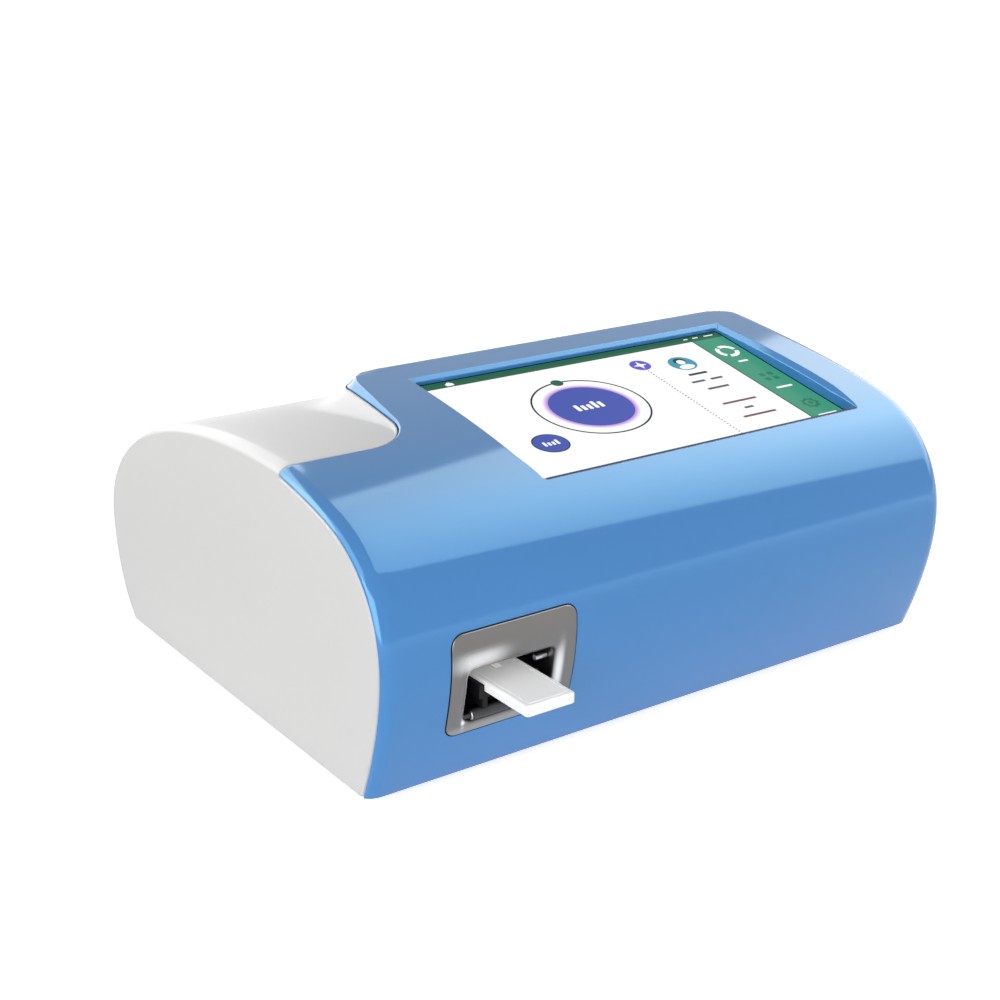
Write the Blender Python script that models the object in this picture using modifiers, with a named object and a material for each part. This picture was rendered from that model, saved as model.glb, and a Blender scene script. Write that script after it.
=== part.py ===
"""Point-of-care analyzer: a desktop reader for test cassettes, modelled as separate pieces in metres, +Z up.

Lengths inside the functions are measured from the front left bottom corner of the housing: x to the right,
y (depth) to the rear, z (height) from the housing's bottom edge. The empty "analyzer_origin" carries every piece
and puts the origin under the middle of the whole object, at the underside of its feet.
"""

import math

import bmesh
import bpy
import numpy as np
from mathutils import Euler, Matrix, Vector

# Housing outline, seen from the side
WIDTH = 0.262
FRONT_BULGE = 0.0122
BULGE_HEIGHT = 0.049
RIDGE_DEPTH = 0.116
RIDGE_HEIGHT = 0.1119
BROW_DEPTH = 0.024
BROW_DROP = 0.0157
BROW_HEIGHT = RIDGE_HEIGHT - BROW_DROP
SHOULDER_DEPTH = 0.0545
SHOULDER_DROP = 0.0088
SHOULDER_HEIGHT = RIDGE_HEIGHT - SHOULDER_DROP
REAR_BULGE_DEPTH = 0.206
REAR_BULGE_HEIGHT = 0.042
REAR_FOOT_DEPTH = 0.192
BROW_SLOPE = 0.30
SHOULDER_SLOPE = 0.185
RIDGE_SLOPE = 0.11
LOW_TOP_SLOPE = 0.05
END_WIDTH = 0.0032
END_INSET = 0.0028
SIDE_LAND = 0.0003

# Raised display housing, seen from above
SEAM_DEPTH = 0.0532
SEAM_RADIUS = 0.018
HOUSING_LEFT = 0.0568
HOUSING_LEAN = 0.09
HOUSING_RIM = 0.003
HOUSING_REAR_DEPTH = RIDGE_DEPTH + HOUSING_RIM
HOUSING_CORNER = 0.013
HOUSING_FAR_CORNER = 0.020
HOUSING_OVERHANG = 0.003
SEAM_RISE_SHARE = 0.73
ROW_RISE_LOW = 0.004
ROW_RISE_HIGH = 0.013

# How far each Bezier handle of the side outline reaches, as a share of the stretch that it shapes
LOWER_HANDLE_SHARES = (0.43, 0.255, 0.67)
UPPER_HANDLE_SHARES = (0.51, 0.61)
BROW_HANDLE_SHARE = 0.33
HIGH_HANDLE_SHARE = 0.325
LOW_HANDLE_SHARES = (0.56, 0.65)
FOOT_HANDLE_SHARES = (0.45, 0.36, 0.12)

# Stations along the side outline and rows across it
LOWER_STEPS = 6
UPPER_STEPS = 8
BROW_STEPS = 3
TOP_STEPS = 7
REAR_STEPS = 9
FOOT_STEPS = 5
REAR_STATION_SHARES = (-2.4, -1.5, -1.0, -0.35, 0.35, 1.1, 2.1, 3.4, 5.0, 7.0, 9.5)
STATION_LENGTH = 0.0033
FINE = 400
SCOOP_ROW_SHARES = (-1.0, -0.74, -0.5, -0.3, -0.13, 0.035)
BAND_ROW_SHARE = 1.02
PLAIN_ROW_SHARES = (0.12, 0.3, 0.5, 0.7, 0.86)
FAR_ROW_SHARES = (-1.0, -0.6, -0.3, -0.1)
END_ANGLES = (90, 60, 30, 0)
ZONE_STEPS = 8
CORNER_STEPS = 6
RECESS_STATIONS = 9

# Walls, gaps and overruns
WALL = 0.0024
SEAT_GAP = 0.0003
SLIDE_GAP = 0.00009
OVERRUN = 0.010
END_OVERRUN = 0.001
SLOPE_OVERRUN = 0.0005
POCKET_OVERRUN = 0.002
RIB = 0.0016
THIN_EDGE = 0.00003
MERGE_DISTANCE = 0.000001
FLAT_ANGLE = 0.0001

# Display and the recess that it lies in
WINDOW_LEFT = 0.084
WINDOW_RIGHT_GAP = 0.023
WINDOW_WIDTH = WIDTH - WINDOW_LEFT - WINDOW_RIGHT_GAP
WINDOW_FRONT_DEPTH = 0.0159
WINDOW_REAR_GAP = 0.0159
WINDOW_REAR_DEPTH = RIDGE_DEPTH - WINDOW_REAR_GAP
FRONT_RECESS = 0.0046
REAR_RECESS = 0.0033
WINDOW_CORNER = 0.0012
WINDOW_WALL = 0.0022
RECESS_CHAMFER = 0.0020
RECESS_FRONT_CHAMFER = 0.0004
CHAMFER_FADE = 0.014
GLASS_BORDER = 0.0025
GLASS_THICKNESS = 0.0011
GLASS_EDGE = 0.0002
MODULE_BORDER = 0.0014
MODULE_THICKNESS = 0.0058
MODULE_FRAME = 0.0030
BRACKET_EARS = 0.022
BRACKET_WIDTH = WINDOW_WIDTH + BRACKET_EARS
BRACKET_BORDER = 0.0029
BRACKET_THICKNESS = 0.0012
BRACKET_RIM = 0.012
DISPLAY_BOSS_RADIUS = 0.0026
DISPLAY_BOSS_GAP = 0.007
DISPLAY_BOSS_SHARE = 0.35
DISPLAY_SCREW_RADIUS = 0.0009
DISPLAY_SCREW_LENGTH = 0.0060
DISPLAY_SCREW_HEAD = 0.0019

# Card slot in the front
SLOT_CENTRE = 0.0519
PLATE_WIDTH = 0.0512
PLATE_LOW = 0.0185
PLATE_HIGH = 0.0573
PLATE_CORNER = 0.0045
PLATE_PROUD = 0.0004
PLATE_THICKNESS = 0.0015
MOUTH_WIDTH = 0.036
MOUTH_LOW = 0.0225
MOUTH_HIGH = 0.0425
MOUTH_CORNER = 0.003
MOUTH_REAR = 0.002
MOUTH_WALL = 0.0014
FUNNEL_WIDTH = 0.0045
FUNNEL_DEPTH = 0.0028
FUNNEL_HEIGHT_SHARE = 0.76
FUNNEL_SHARES = (1.15, 1.0, 0.75, 0.5, 0.28, 0.12, 0.03, 0.0)
STUD_RADIUS = 0.00105
STUD_LENGTH = 0.0048
STUD_DEPTH = -0.005
ROLLER_RADIUS = 0.00185
ROLLER_PIN_RADIUS = 0.0008
ROLLER_DEPTH = -0.0068
ROLLER_HEIGHT = 0.0242
ROLLER_LENGTH = 0.0292
RUNNING_GAP = 0.00015

# Test cassette
CASSETTE_WIDTH = 0.020
CASSETTE_LENGTH = 0.070
CASSETTE_THICKNESS = 0.004
CASSETTE_TOP = 0.036
CASSETTE_REACH = 0.0202
CASSETTE_FRONT = -FRONT_BULGE - CASSETTE_REACH
CASSETTE_BOTTOM = CASSETTE_TOP - CASSETTE_THICKNESS
CASSETTE_CORNER = 0.0012
CASSETTE_EDGE = 0.0007
CASSETTE_SEAM = 0.0001
COVER_SHARE = 0.45
STRIP_WIDTH = 0.004
STRIP_LENGTH = 0.058
STRIP_THICKNESS = 0.0005
STRIP_WINDOW_LENGTH = 0.014
STRIP_WINDOW_WIDTH = 0.0034
STRIP_WINDOW_PLACE = 0.0374
WELL_RADIUS = 0.003
WELL_PLACE = 0.058
WELL_SHARES = (0.55, 1.7)

# Card tray and its drive
TRAY_FLOOR = 0.0020
TRAY_RAIL = 0.0020
TRAY_RAIL_DROP = 0.0013
TRAY_FRONT = -0.0083
TRAY_GAP = 0.0002
TRAY_DECK = CASSETTE_BOTTOM - TRAY_GAP
TRAY_HALF = CASSETTE_WIDTH / 2 + TRAY_GAP + TRAY_RAIL
TRAY_REAR = CASSETTE_FRONT + CASSETTE_LENGTH + TRAY_GAP + TRAY_RAIL
TRAY_SKID = 0.0020
TRAY_SKID_INSET = 0.0014
WING_FRONT = 0.012
WING_LENGTH = 0.024
WING_THICKNESS = 0.0031
WING_LOW = 0.0266
BUSHING_RADIUS = 0.0036
ROD_RADIUS = 0.002
ROD_SPREAD = 0.020
ROD_HEIGHT = 0.024
SCREW_RADIUS = 0.002
SCREW_HEIGHT = 0.0205
NUT_RADIUS = 0.0030
NUT_LENGTH = 0.012
NUT_FLANGE = 0.0042
NUT_FLANGE_THICKNESS = 0.0012
LUG_WIDTH = 0.010
LUG_DROP = 0.0048
LUG_NEAR = 0.020
FLAG_OFFSET = 0.0099
FLAG_THICKNESS = 0.001
FLAG_LENGTH = 0.006
FLAG_HEIGHT = 0.0085
MOTOR_RADIUS = 0.010
MOTOR_LENGTH = 0.016
MOTOR_PILOT = 0.003
MOTOR_PILOT_LENGTH = 0.0012
MOTOR_FLANGE = 0.0010
MOTOR_EAR = 0.0035
SCREW_IN_MOTOR = 0.008

# Reader frame
FRAME_WIDTH = 0.060
FRAME_FRONT = 0.003
FRAME_LENGTH = 0.109
FRAME_FLOOR = 0.012
FRAME_SHEET = 0.002
FRAME_EAR = 0.003
FRAME_EAR_WIDTH = 0.010
FRAME_REAR_HEIGHT = 0.022
FRAME_LEFT = SLOT_CENTRE - FRAME_WIDTH / 2
FRAME_RIGHT = SLOT_CENTRE + FRAME_WIDTH / 2
FRAME_REAR = FRAME_FRONT + FRAME_LENGTH
FRAME_TOP = FRAME_FLOOR + FRAME_SHEET
EAR_HEIGHT = 0.0285
FRAME_WALL_HEIGHT = 0.0248
BRIDGE_SHEET = 0.002
BRIDGE_TOP = 0.062
BRIDGE_LENGTH = 0.028
HEAD_WIDTH = 0.028
HEAD_LENGTH = 0.024
HEAD_DEPTH = 0.050
HEAD_CLEARANCE = 0.0025
HEAD_LOW = CASSETTE_TOP + HEAD_CLEARANCE
BRIDGE_NEAR = HEAD_DEPTH - BRIDGE_LENGTH / 2
BRIDGE_TAB = 0.006
HEAD_SNOUT_RADIUS = 0.0062
HEAD_SNOUT = 0.0013
LENS_RADIUS = 0.0042
LENS_THICKNESS = 0.0020
LENS_CROWN = 0.0006
LENS_SHARES = (0.6, 0.36)
BEAM_RADIUS = 0.003
BOARD_THICKNESS = 0.0016
SENSOR_NEAR = 0.0745
SENSOR_LENGTH = 0.006
SENSOR_WIDTH = 0.0080
SENSOR_SLOT = 0.0026
SENSOR_HEIGHT = 0.010
SENSOR_BASE = 0.0020

# Base plate, feet and fasteners
BASE_THICKNESS = 0.0024
BASE_POST_RADIUS = 0.0035
VENT_COUNT = 9
VENT_PITCH = 0.006
VENT_WIDTH = 0.0026
VENT_LENGTH = 0.034
FOOT_RADIUS = 0.0075
FOOT_HEIGHT = 0.0035
FOOT_STEM_RADIUS = 0.0022
FOOT_BARB = 0.0006
FOOT_INSET = 0.020
SCREW_HEAD_RADIUS = 0.0028
SCREW_HEAD_HEIGHT = 0.0014
SCREW_SHANK_RADIUS = 0.0014
SCREW_SHANK_LENGTH = 0.009
CROSS_SHARES = (0.62, 0.16, 0.45)
CROSS_STEP = 0.00004
BOSS_RADIUS = 0.0040
BOSS_HEIGHT = 0.014
BOSS_INSET = 0.0105
BASE_UNDERSIDE = 0.0004
BASE_SIDE = WALL + 2 * SEAT_GAP
BASE_NEAR = 0.0032
BASE_REAR_GAP = 0.004
BASE_FAR = REAR_FOOT_DEPTH - BASE_REAR_GAP
POST_INSET = 0.006
BOSS_PLACES = ((BOSS_INSET, BOSS_INSET + RIB), (WIDTH - BOSS_INSET, BOSS_INSET + RIB),
               (BOSS_INSET, REAR_FOOT_DEPTH - BOSS_INSET), (WIDTH - BOSS_INSET, REAR_FOOT_DEPTH - BOSS_INSET))
FOOT_PLACES = ((FOOT_INSET, FOOT_INSET + BOSS_RADIUS), (WIDTH - FOOT_INSET, FOOT_INSET + BOSS_RADIUS),
               (FOOT_INSET, REAR_FOOT_DEPTH - FOOT_INSET - BOSS_RADIUS),
               (WIDTH - FOOT_INSET, REAR_FOOT_DEPTH - FOOT_INSET - BOSS_RADIUS))

# Electronics and the rear connector bay
MAIN_BOARD_LEFT = 0.124
BOARD_RIGHT_GAP = 0.018
MAIN_BOARD_RIGHT = WIDTH - BOARD_RIGHT_GAP
MAIN_BOARD_FRONT = 0.118
MAIN_BOARD_HEIGHT = 0.016
POWER_BOARD_LEFT = 0.018
POWER_BOARD_RIGHT = 0.088
POWER_BOARD_FRONT = 0.136
POWER_BOARD_REAR = 0.180
BAY_LEFT = 0.096
BAY_RIGHT_GAP = 0.016
BAY_RIGHT = WIDTH - BAY_RIGHT_GAP
BAY_WIDTH = BAY_RIGHT - BAY_LEFT
SWITCH_SHARE = 0.107
INLET_SHARE = 0.28
USB_SHARES = (0.413, 0.547)
NETWORK_SHARE = 0.693
SERIAL_SHARE = 0.88
BAY_LOW = 0.009
BAY_HIGH = 0.046
BAY_FLOOR = 0.1894
BAY_CORNER = 0.004
PANEL_THICKNESS = 0.0020
REAR_VENT_LEFT = 0.026
REAR_VENT_GAP = 0.012
BOARD_REAR_GAP = 0.002
BOARD_REAR = BAY_FLOOR - PANEL_THICKNESS - BOARD_REAR_GAP
BOARD_UNDERSIDE = MAIN_BOARD_HEIGHT
BOARD_TOP = MAIN_BOARD_HEIGHT + BOARD_THICKNESS
PORT_REACH = 0.0010
PORT_LOW = BOARD_TOP + SEAT_GAP
PORT_REAR = BAY_FLOOR + PORT_REACH
SWITCH_CENTRE = BAY_LEFT + SWITCH_SHARE * BAY_WIDTH
SWITCH_HEIGHT = 0.0275
SWITCH_WIDTH = 0.015
SWITCH_TALL = 0.021
SWITCH_BODY = 0.016
SWITCH_FLANGE = 0.0015
SWITCH_RIM = 0.0020
ROCKER_RADIUS = 0.0082
ROCKER_CREST = 0.0034
ROCKER_VALLEY = 0.0024
ROCKER_BACK = 0.0022
ROCKER_TILT = math.radians(9)
ROCKER_PIVOT = 0.0022
ROCKER_WELL = 0.0062
INLET_CENTRE = BAY_LEFT + INLET_SHARE * BAY_WIDTH
INLET_WIDTH = 0.0095
INLET_TALL = 0.011
INLET_BORE = 0.0033
INLET_PIN = 0.001
INLET_PIN_SHARE = 0.75
USB_CENTRES = tuple(BAY_LEFT + share * BAY_WIDTH for share in USB_SHARES)
USB_WIDTH = 0.0131
USB_TALL = 0.0057
USB_SHELL = 0.0005
NETWORK_CENTRE = BAY_LEFT + NETWORK_SHARE * BAY_WIDTH
NETWORK_WIDTH = 0.016
NETWORK_TALL = 0.0135
NETWORK_MOUTH_WIDTH = 0.0118
NETWORK_MOUTH_TALL = 0.0090
SERIAL_CENTRE = BAY_LEFT + SERIAL_SHARE * BAY_WIDTH
SERIAL_WIDTH = 0.017
SERIAL_TALL = 0.0084
SERIAL_SHELL = 0.0006
SERIAL_TAPER_SHARE = 0.88
SERIAL_PITCH = 0.00277
SERIAL_PIN = 0.0005
SERIAL_PINS = (5, 4)
SERIAL_PIN_SHARE = 0.6
PORT_DEPTH = 0.014
SPEAKER_RADIUS = 0.014
SPEAKER_HEIGHT = 0.006
SPEAKER_CONE_SHARES = (0.8, 0.3)
SPEAKER_RIGHT_GAP = 0.057
SPEAKER_PLACE = (WIDTH - SPEAKER_RIGHT_GAP, 0.045)
CABLE_WIDTH = 0.025
CABLE_THICKNESS = 0.0004
CABLE_RIGHT_GAP = 0.097
CABLE_CENTRE = WIDTH - CABLE_RIGHT_GAP
CABLE_FOOT_GAP = 0.008
CABLE_FOOT = MAIN_BOARD_FRONT + CABLE_FOOT_GAP
CABLE_RUN = 0.0205
CABLE_DROP = 0.0036
CABLE_STEPS = 10

# Components on the boards: place as shares of the board across and along, then width, length and height
MAIN_PARTS = ((0.17, 0.21, 0.024, 0.024, 0.0024), (0.43, 0.27, 0.012, 0.016, 0.0018),
              (0.58, 0.18, 0.010, 0.014, 0.0018), (0.75, 0.24, 0.018, 0.012, 0.0060),
              (0.12, 0.65, 0.008, 0.006, 0.0050), (0.50, 0.60, 0.020, 0.006, 0.0030))
POWER_PARTS = ((0.17, 0.18, 0.018, 0.016, 0.016), (0.51, 0.27, 0.010, 0.010, 0.012),
               (0.74, 0.14, 0.006, 0.026, 0.014), (0.14, 0.68, 0.022, 0.006, 0.010))
DETECTOR_PARTS = ((0.36, 0.33, 0.008, 0.008, 0.0015), (0.07, 0.08, 0.005, 0.003, 0.0012),
                  (0.75, 0.71, 0.004, 0.005, 0.0042))

ROUND_SIDES = 24
SMALL_SIDES = 16
POST_SIDES = 10
SCREW_SIDES = 12
PIN_SIDES = 6

# Where the whole object starts and ends along its depth
FRONT_REACH = FRONT_BULGE + CASSETTE_REACH
ORIGIN_DEPTH = (REAR_BULGE_DEPTH - FRONT_REACH) / 2


def clear_scene():
    """Start from an empty scene."""
    for thing in list(bpy.data.objects):
        bpy.data.objects.remove(thing, do_unlink=True)


clear_scene()
PARTS = bpy.data.collections.new("point_of_care_analyzer")
CUTTERS = bpy.data.collections.new("cutters")
bpy.context.scene.collection.children.link(PARTS)
bpy.context.scene.collection.children.link(CUTTERS)
ORIGIN = bpy.data.objects.new("analyzer_origin", None)
ORIGIN.location = (-WIDTH / 2, -ORIGIN_DEPTH, FOOT_HEIGHT)
PARTS.objects.link(ORIGIN)


def material(name, colour, roughness, metallic=0.0):
    """A Principled material with the piece's colour, roughness and metallic value."""
    made = bpy.data.materials.new(name)
    made.use_nodes = True
    shader = made.node_tree.nodes["Principled BSDF"]
    shader.inputs["Base Color"].default_value = (*colour, 1.0)
    shader.inputs["Roughness"].default_value = roughness
    shader.inputs["Metallic"].default_value = metallic
    made.diffuse_color = (*colour, 1.0)
    return made


BLUE = material("blue_shell", (0.13, 0.33, 0.66), 0.30)
WHITE = material("white_shell", (0.80, 0.80, 0.79), 0.38)
GREY = material("grey_base", (0.46, 0.47, 0.48), 0.55)
RUBBER = material("black_rubber", (0.02, 0.02, 0.02), 0.85)
SATIN = material("satin_metal", (0.42, 0.41, 0.39), 0.32, 1.0)
STEEL = material("steel", (0.55, 0.55, 0.56), 0.28, 1.0)
BRASS = material("brass", (0.62, 0.45, 0.18), 0.35, 1.0)
GLASS = material("display_glass", (0.02, 0.02, 0.025), 0.08)
BLACK = material("black_plastic", (0.025, 0.025, 0.027), 0.5)
CARD = material("cassette_plastic", (0.86, 0.86, 0.85), 0.45)
PAPER = material("test_strip", (0.90, 0.88, 0.84), 0.9)
BOARD = material("circuit_board", (0.02, 0.16, 0.07), 0.5)
LENS = material("lens_glass", (0.75, 0.85, 0.9), 0.05)
RIBBON = material("ribbon_cable", (0.75, 0.75, 0.72), 0.6)


def keep(thing, name, finish):
    """Name a finished piece, give it its material and hang it on the origin."""
    thing.name = name
    thing.data.name = name
    thing.data.materials.clear()
    thing.data.materials.append(finish)
    for group in list(thing.users_collection):
        group.objects.unlink(thing)
    PARTS.objects.link(thing)
    thing.hide_render = False
    thing.display_type = "TEXTURED"
    if thing.parent is None:
        thing.parent = ORIGIN
    return thing


def tool(mesh, name):
    """A solid that only cuts, joins or trims: hidden in the render, drawn as wire."""
    thing = bpy.data.objects.new(name, mesh)
    CUTTERS.objects.link(thing)
    thing.parent = ORIGIN
    thing.hide_render = True
    thing.display_type = "WIRE"
    return thing


def mesh_from(bm, name):
    """Turn a bmesh into a mesh with its faces pointing outwards."""
    bmesh.ops.recalc_face_normals(bm, faces=bm.faces)
    mesh = bpy.data.meshes.new(name)
    bm.to_mesh(mesh)
    bm.free()
    return mesh


def moved(thing, matrix):
    """Move a solid's own points."""
    thing.data.transform(matrix)
    return thing


def box(low, high, name="box", bevel=0.0, segments=2):
    """A box between two corners, with its edges rounded if asked."""
    bm = bmesh.new()
    bmesh.ops.create_cube(bm, size=1)
    size = Vector(high) - Vector(low)
    middle = (Vector(high) + Vector(low)) / 2
    bmesh.ops.scale(bm, vec=size, verts=bm.verts)
    if bevel:
        bmesh.ops.bevel(bm, geom=bm.edges, offset=bevel, segments=segments, affect="EDGES", profile=0.5)
    bmesh.ops.translate(bm, vec=middle, verts=bm.verts)
    return tool(mesh_from(bm, name), name)


AXES = {"X": Matrix.Rotation(math.pi / 2, 3, "Y"), "Y": Matrix.Rotation(-math.pi / 2, 3, "X"), "Z": Matrix.Identity(3)}


def rod(start, length, radius, axis="Z", sides=ROUND_SIDES, name="rod", end_radius=None):
    """A cylinder or cone that starts at a point and runs along an axis."""
    bm = bmesh.new()
    far = radius if end_radius is None else end_radius
    bmesh.ops.create_cone(bm, cap_ends=True, segments=sides, radius1=radius, radius2=far, depth=length)
    bmesh.ops.translate(bm, vec=(0, 0, length / 2), verts=bm.verts)
    bmesh.ops.rotate(bm, cent=(0, 0, 0), matrix=AXES[axis], verts=bm.verts)
    bmesh.ops.translate(bm, vec=start, verts=bm.verts)
    return tool(mesh_from(bm, name), name)


def turned(profile, start, axis="Z", sides=ROUND_SIDES, name="turned"):
    """Revolve a profile of (radius, height) points that starts and ends on the axis, or that closes on itself."""
    curve = bpy.data.meshes.new(name)
    points = [(radius, 0.0, height) for radius, height in profile]
    curve.from_pydata(points, [(i, i + 1) for i in range(len(points) - 1)], [])
    thing = tool(curve, name)
    screw = thing.modifiers.new("turn", "SCREW")
    screw.steps = sides
    screw.render_steps = sides
    screw.use_merge_vertices = True
    screw.merge_threshold = MERGE_DISTANCE
    settle(thing)
    bm = bmesh.new()
    bm.from_mesh(thing.data)
    bmesh.ops.remove_doubles(bm, verts=bm.verts, dist=MERGE_DISTANCE)
    thing.data = mesh_from(bm, name)
    return moved(thing, Matrix.Translation(start) @ AXES[axis].to_4x4())


def settle(thing):
    """Replace a piece's mesh by what its modifiers make of it."""
    bpy.context.view_layer.update()
    graph = bpy.context.evaluated_depsgraph_get()
    made = bpy.data.meshes.new_from_object(thing.evaluated_get(graph))
    thing.modifiers.clear()
    thing.data = made
    return thing


def boolean(thing, operation, others):
    """Cut, join or trim a piece with other solids, by the exact solver."""
    for other in others:
        step = thing.modifiers.new(operation.lower(), "BOOLEAN")
        step.operation = operation
        step.solver = "EXACT"
        step.object = other
    return settle(thing)


def cut(thing, *others):
    """Take other solids away from a piece."""
    return boolean(thing, "DIFFERENCE", others)


def join(thing, *others):
    """Fuse other solids to a piece."""
    return boolean(thing, "UNION", others)


def trim(thing, *others):
    """Keep only what a piece shares with other solids."""
    return boolean(thing, "INTERSECT", others)


def gather(solids, name):
    """Several solids that don't touch, as one tool."""
    bm = bmesh.new()
    for solid in solids:
        bm.from_mesh(solid.data)
    return tool(mesh_from(bm, name), name)


def copy_of(thing, name):
    """A second solid with its own copy of a mesh."""
    return tool(thing.data.copy(), name)


def loft(rings, name):
    """A solid from closed rings of equally many points, capped at both ends."""
    bm = bmesh.new()
    rows = [[bm.verts.new(point) for point in ring] for ring in rings]
    for here, there in zip(rows[:-1], rows[1:]):
        for i in range(len(here)):
            j = (i + 1) % len(here)
            bm.faces.new((here[i], here[j], there[j], there[i]))
    bm.faces.new(rows[0])
    bm.faces.new(rows[-1])
    return tool(mesh_from(bm, name), name)


PLANES = {"XY": Euler((0, 0, 0)), "XZ": Euler((math.pi / 2, 0, 0)), "YZ": Euler((math.pi / 2, 0, math.pi / 2))}


def slab(outline, low, high, plane="XY", name="slab"):
    """Extrude a flat outline between two levels of the axis that its plane leaves free."""
    curve = bpy.data.curves.new(name, "CURVE")
    curve.dimensions = "2D"
    curve.fill_mode = "BOTH"
    curve.extrude = (high - low) / 2
    spline = curve.splines.new("POLY")
    spline.points.add(len(outline) - 1)
    for point, (across, along) in zip(spline.points, outline):
        point.co = (across, along, 0, 1)
    spline.use_cyclic_u = True
    guide = bpy.data.objects.new(name, curve)
    CUTTERS.objects.link(guide)
    bpy.context.view_layer.update()
    mesh = bpy.data.meshes.new_from_object(guide.evaluated_get(bpy.context.evaluated_depsgraph_get()))
    bpy.data.objects.remove(guide, do_unlink=True)
    bm = bmesh.new()
    bm.from_mesh(mesh)
    bmesh.ops.remove_doubles(bm, verts=bm.verts, dist=MERGE_DISTANCE)
    bmesh.ops.dissolve_limit(bm, angle_limit=FLAT_ANGLE, verts=bm.verts, edges=bm.edges)
    middle = (low + high) / 2
    shift = {"XY": Vector((0, 0, middle)), "XZ": Vector((0, middle, 0)), "YZ": Vector((middle, 0, 0))}[plane]
    bmesh.ops.rotate(bm, cent=(0, 0, 0), matrix=PLANES[plane].to_matrix(), verts=bm.verts)
    bmesh.ops.translate(bm, vec=shift, verts=bm.verts)
    return tool(mesh_from(bm, name), name)


def arc(centre, radius, start, end, steps):
    """Points on an arc, angles in degrees."""
    turn = np.radians(np.linspace(start, end, steps + 1))
    return [(centre[0] + radius * math.cos(a), centre[1] + radius * math.sin(a)) for a in turn]


def rounded(left, right, low, high, radius, steps=4):
    """A rectangle with round corners."""
    corners = (((right - radius, low + radius), -90), ((right - radius, high - radius), 0),
               ((left + radius, high - radius), 90), ((left + radius, low + radius), 180))
    points = []
    for centre, start in corners:
        points += arc(centre, radius, start, start + 90, steps)
    return points


def bezier(p0, p1, p2, p3, steps):
    """Points along a cubic Bezier curve, both ends included."""
    t = np.linspace(0, 1, steps + 1)[:, None]
    p0, p1, p2, p3 = (np.array(p, float) for p in (p0, p1, p2, p3))
    return (1 - t) ** 3 * p0 + 3 * (1 - t) ** 2 * t * p1 + 3 * (1 - t) * t ** 2 * p2 + t ** 3 * p3


def front_profile():
    """The side outline from the front bottom edge up to the shoulder."""
    a, b, c = LOWER_HANDLE_SHARES
    lower = bezier((0, 0), (-a * FRONT_BULGE, b * BULGE_HEIGHT), (-FRONT_BULGE, c * BULGE_HEIGHT),
                   (-FRONT_BULGE, BULGE_HEIGHT), LOWER_STEPS)
    climb = UPPER_HANDLE_SHARES[0] * (BROW_HEIGHT - BULGE_HEIGHT)
    reach = UPPER_HANDLE_SHARES[1] * (BROW_DEPTH + FRONT_BULGE)
    upper = bezier((-FRONT_BULGE, BULGE_HEIGHT), (-FRONT_BULGE, BULGE_HEIGHT + climb),
                   (BROW_DEPTH - reach, BROW_HEIGHT - reach * BROW_SLOPE), (BROW_DEPTH, BROW_HEIGHT), UPPER_STEPS)
    reach = BROW_HANDLE_SHARE * (SHOULDER_DEPTH - BROW_DEPTH)
    brow = bezier((BROW_DEPTH, BROW_HEIGHT), (BROW_DEPTH + reach, BROW_HEIGHT + reach * BROW_SLOPE),
                  (SHOULDER_DEPTH - reach, SHOULDER_HEIGHT - reach * SHOULDER_SLOPE),
                  (SHOULDER_DEPTH, SHOULDER_HEIGHT), BROW_STEPS)
    return np.vstack([lower[:-1], upper[:-1], brow])


def low_curve():
    """The white top, from the shoulder to the rear bulge, finely sampled."""
    reach = LOW_HANDLE_SHARES[0] * (REAR_BULGE_DEPTH - SHOULDER_DEPTH)
    climb = LOW_HANDLE_SHARES[1] * (SHOULDER_HEIGHT - REAR_BULGE_HEIGHT)
    return bezier((SHOULDER_DEPTH, SHOULDER_HEIGHT),
                  (SHOULDER_DEPTH + reach, SHOULDER_HEIGHT + reach * LOW_TOP_SLOPE),
                  (REAR_BULGE_DEPTH, REAR_BULGE_HEIGHT + climb), (REAR_BULGE_DEPTH, REAR_BULGE_HEIGHT), FINE)


def high_curve():
    """The blue top of the raised housing, from the shoulder to the ridge, finely sampled."""
    reach = HIGH_HANDLE_SHARE * (RIDGE_DEPTH - SHOULDER_DEPTH)
    return bezier((SHOULDER_DEPTH, SHOULDER_HEIGHT),
                  (SHOULDER_DEPTH + reach, SHOULDER_HEIGHT + reach * SHOULDER_SLOPE),
                  (RIDGE_DEPTH - reach, RIDGE_HEIGHT - reach * RIDGE_SLOPE), (RIDGE_DEPTH, RIDGE_HEIGHT), FINE)


FRONT = front_profile()
LOW = low_curve()
HIGH = high_curve()


def side_profile():
    """The whole low outline, from the front bottom edge over the top to the rear bottom edge."""
    last = HOUSING_REAR_DEPTH + REAR_STATION_SHARES[0] * STATION_LENGTH
    even = np.linspace(SHOULDER_DEPTH, last, TOP_STEPS + 1)[1:-1]
    fine = [HOUSING_REAR_DEPTH + share * STATION_LENGTH for share in REAR_STATION_SHARES]
    depths = np.concatenate([even, fine])
    top = np.stack([depths, np.interp(depths, LOW[:, 0], LOW[:, 1])], axis=1)
    first = int(np.searchsorted(LOW[:, 0], depths[-1]))
    rest = LOW[np.linspace(first, FINE, REAR_STEPS + 1).astype(int)[1:]]
    a, b, c = FOOT_HANDLE_SHARES
    overhang = REAR_BULGE_DEPTH - REAR_FOOT_DEPTH
    foot = bezier((REAR_BULGE_DEPTH, REAR_BULGE_HEIGHT), (REAR_BULGE_DEPTH, a * REAR_BULGE_HEIGHT),
                  (REAR_FOOT_DEPTH + b * overhang, c * REAR_BULGE_HEIGHT), (REAR_FOOT_DEPTH, 0), FOOT_STEPS)
    return np.vstack([FRONT, top, rest, foot[1:]])


PROFILE = side_profile()


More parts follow.
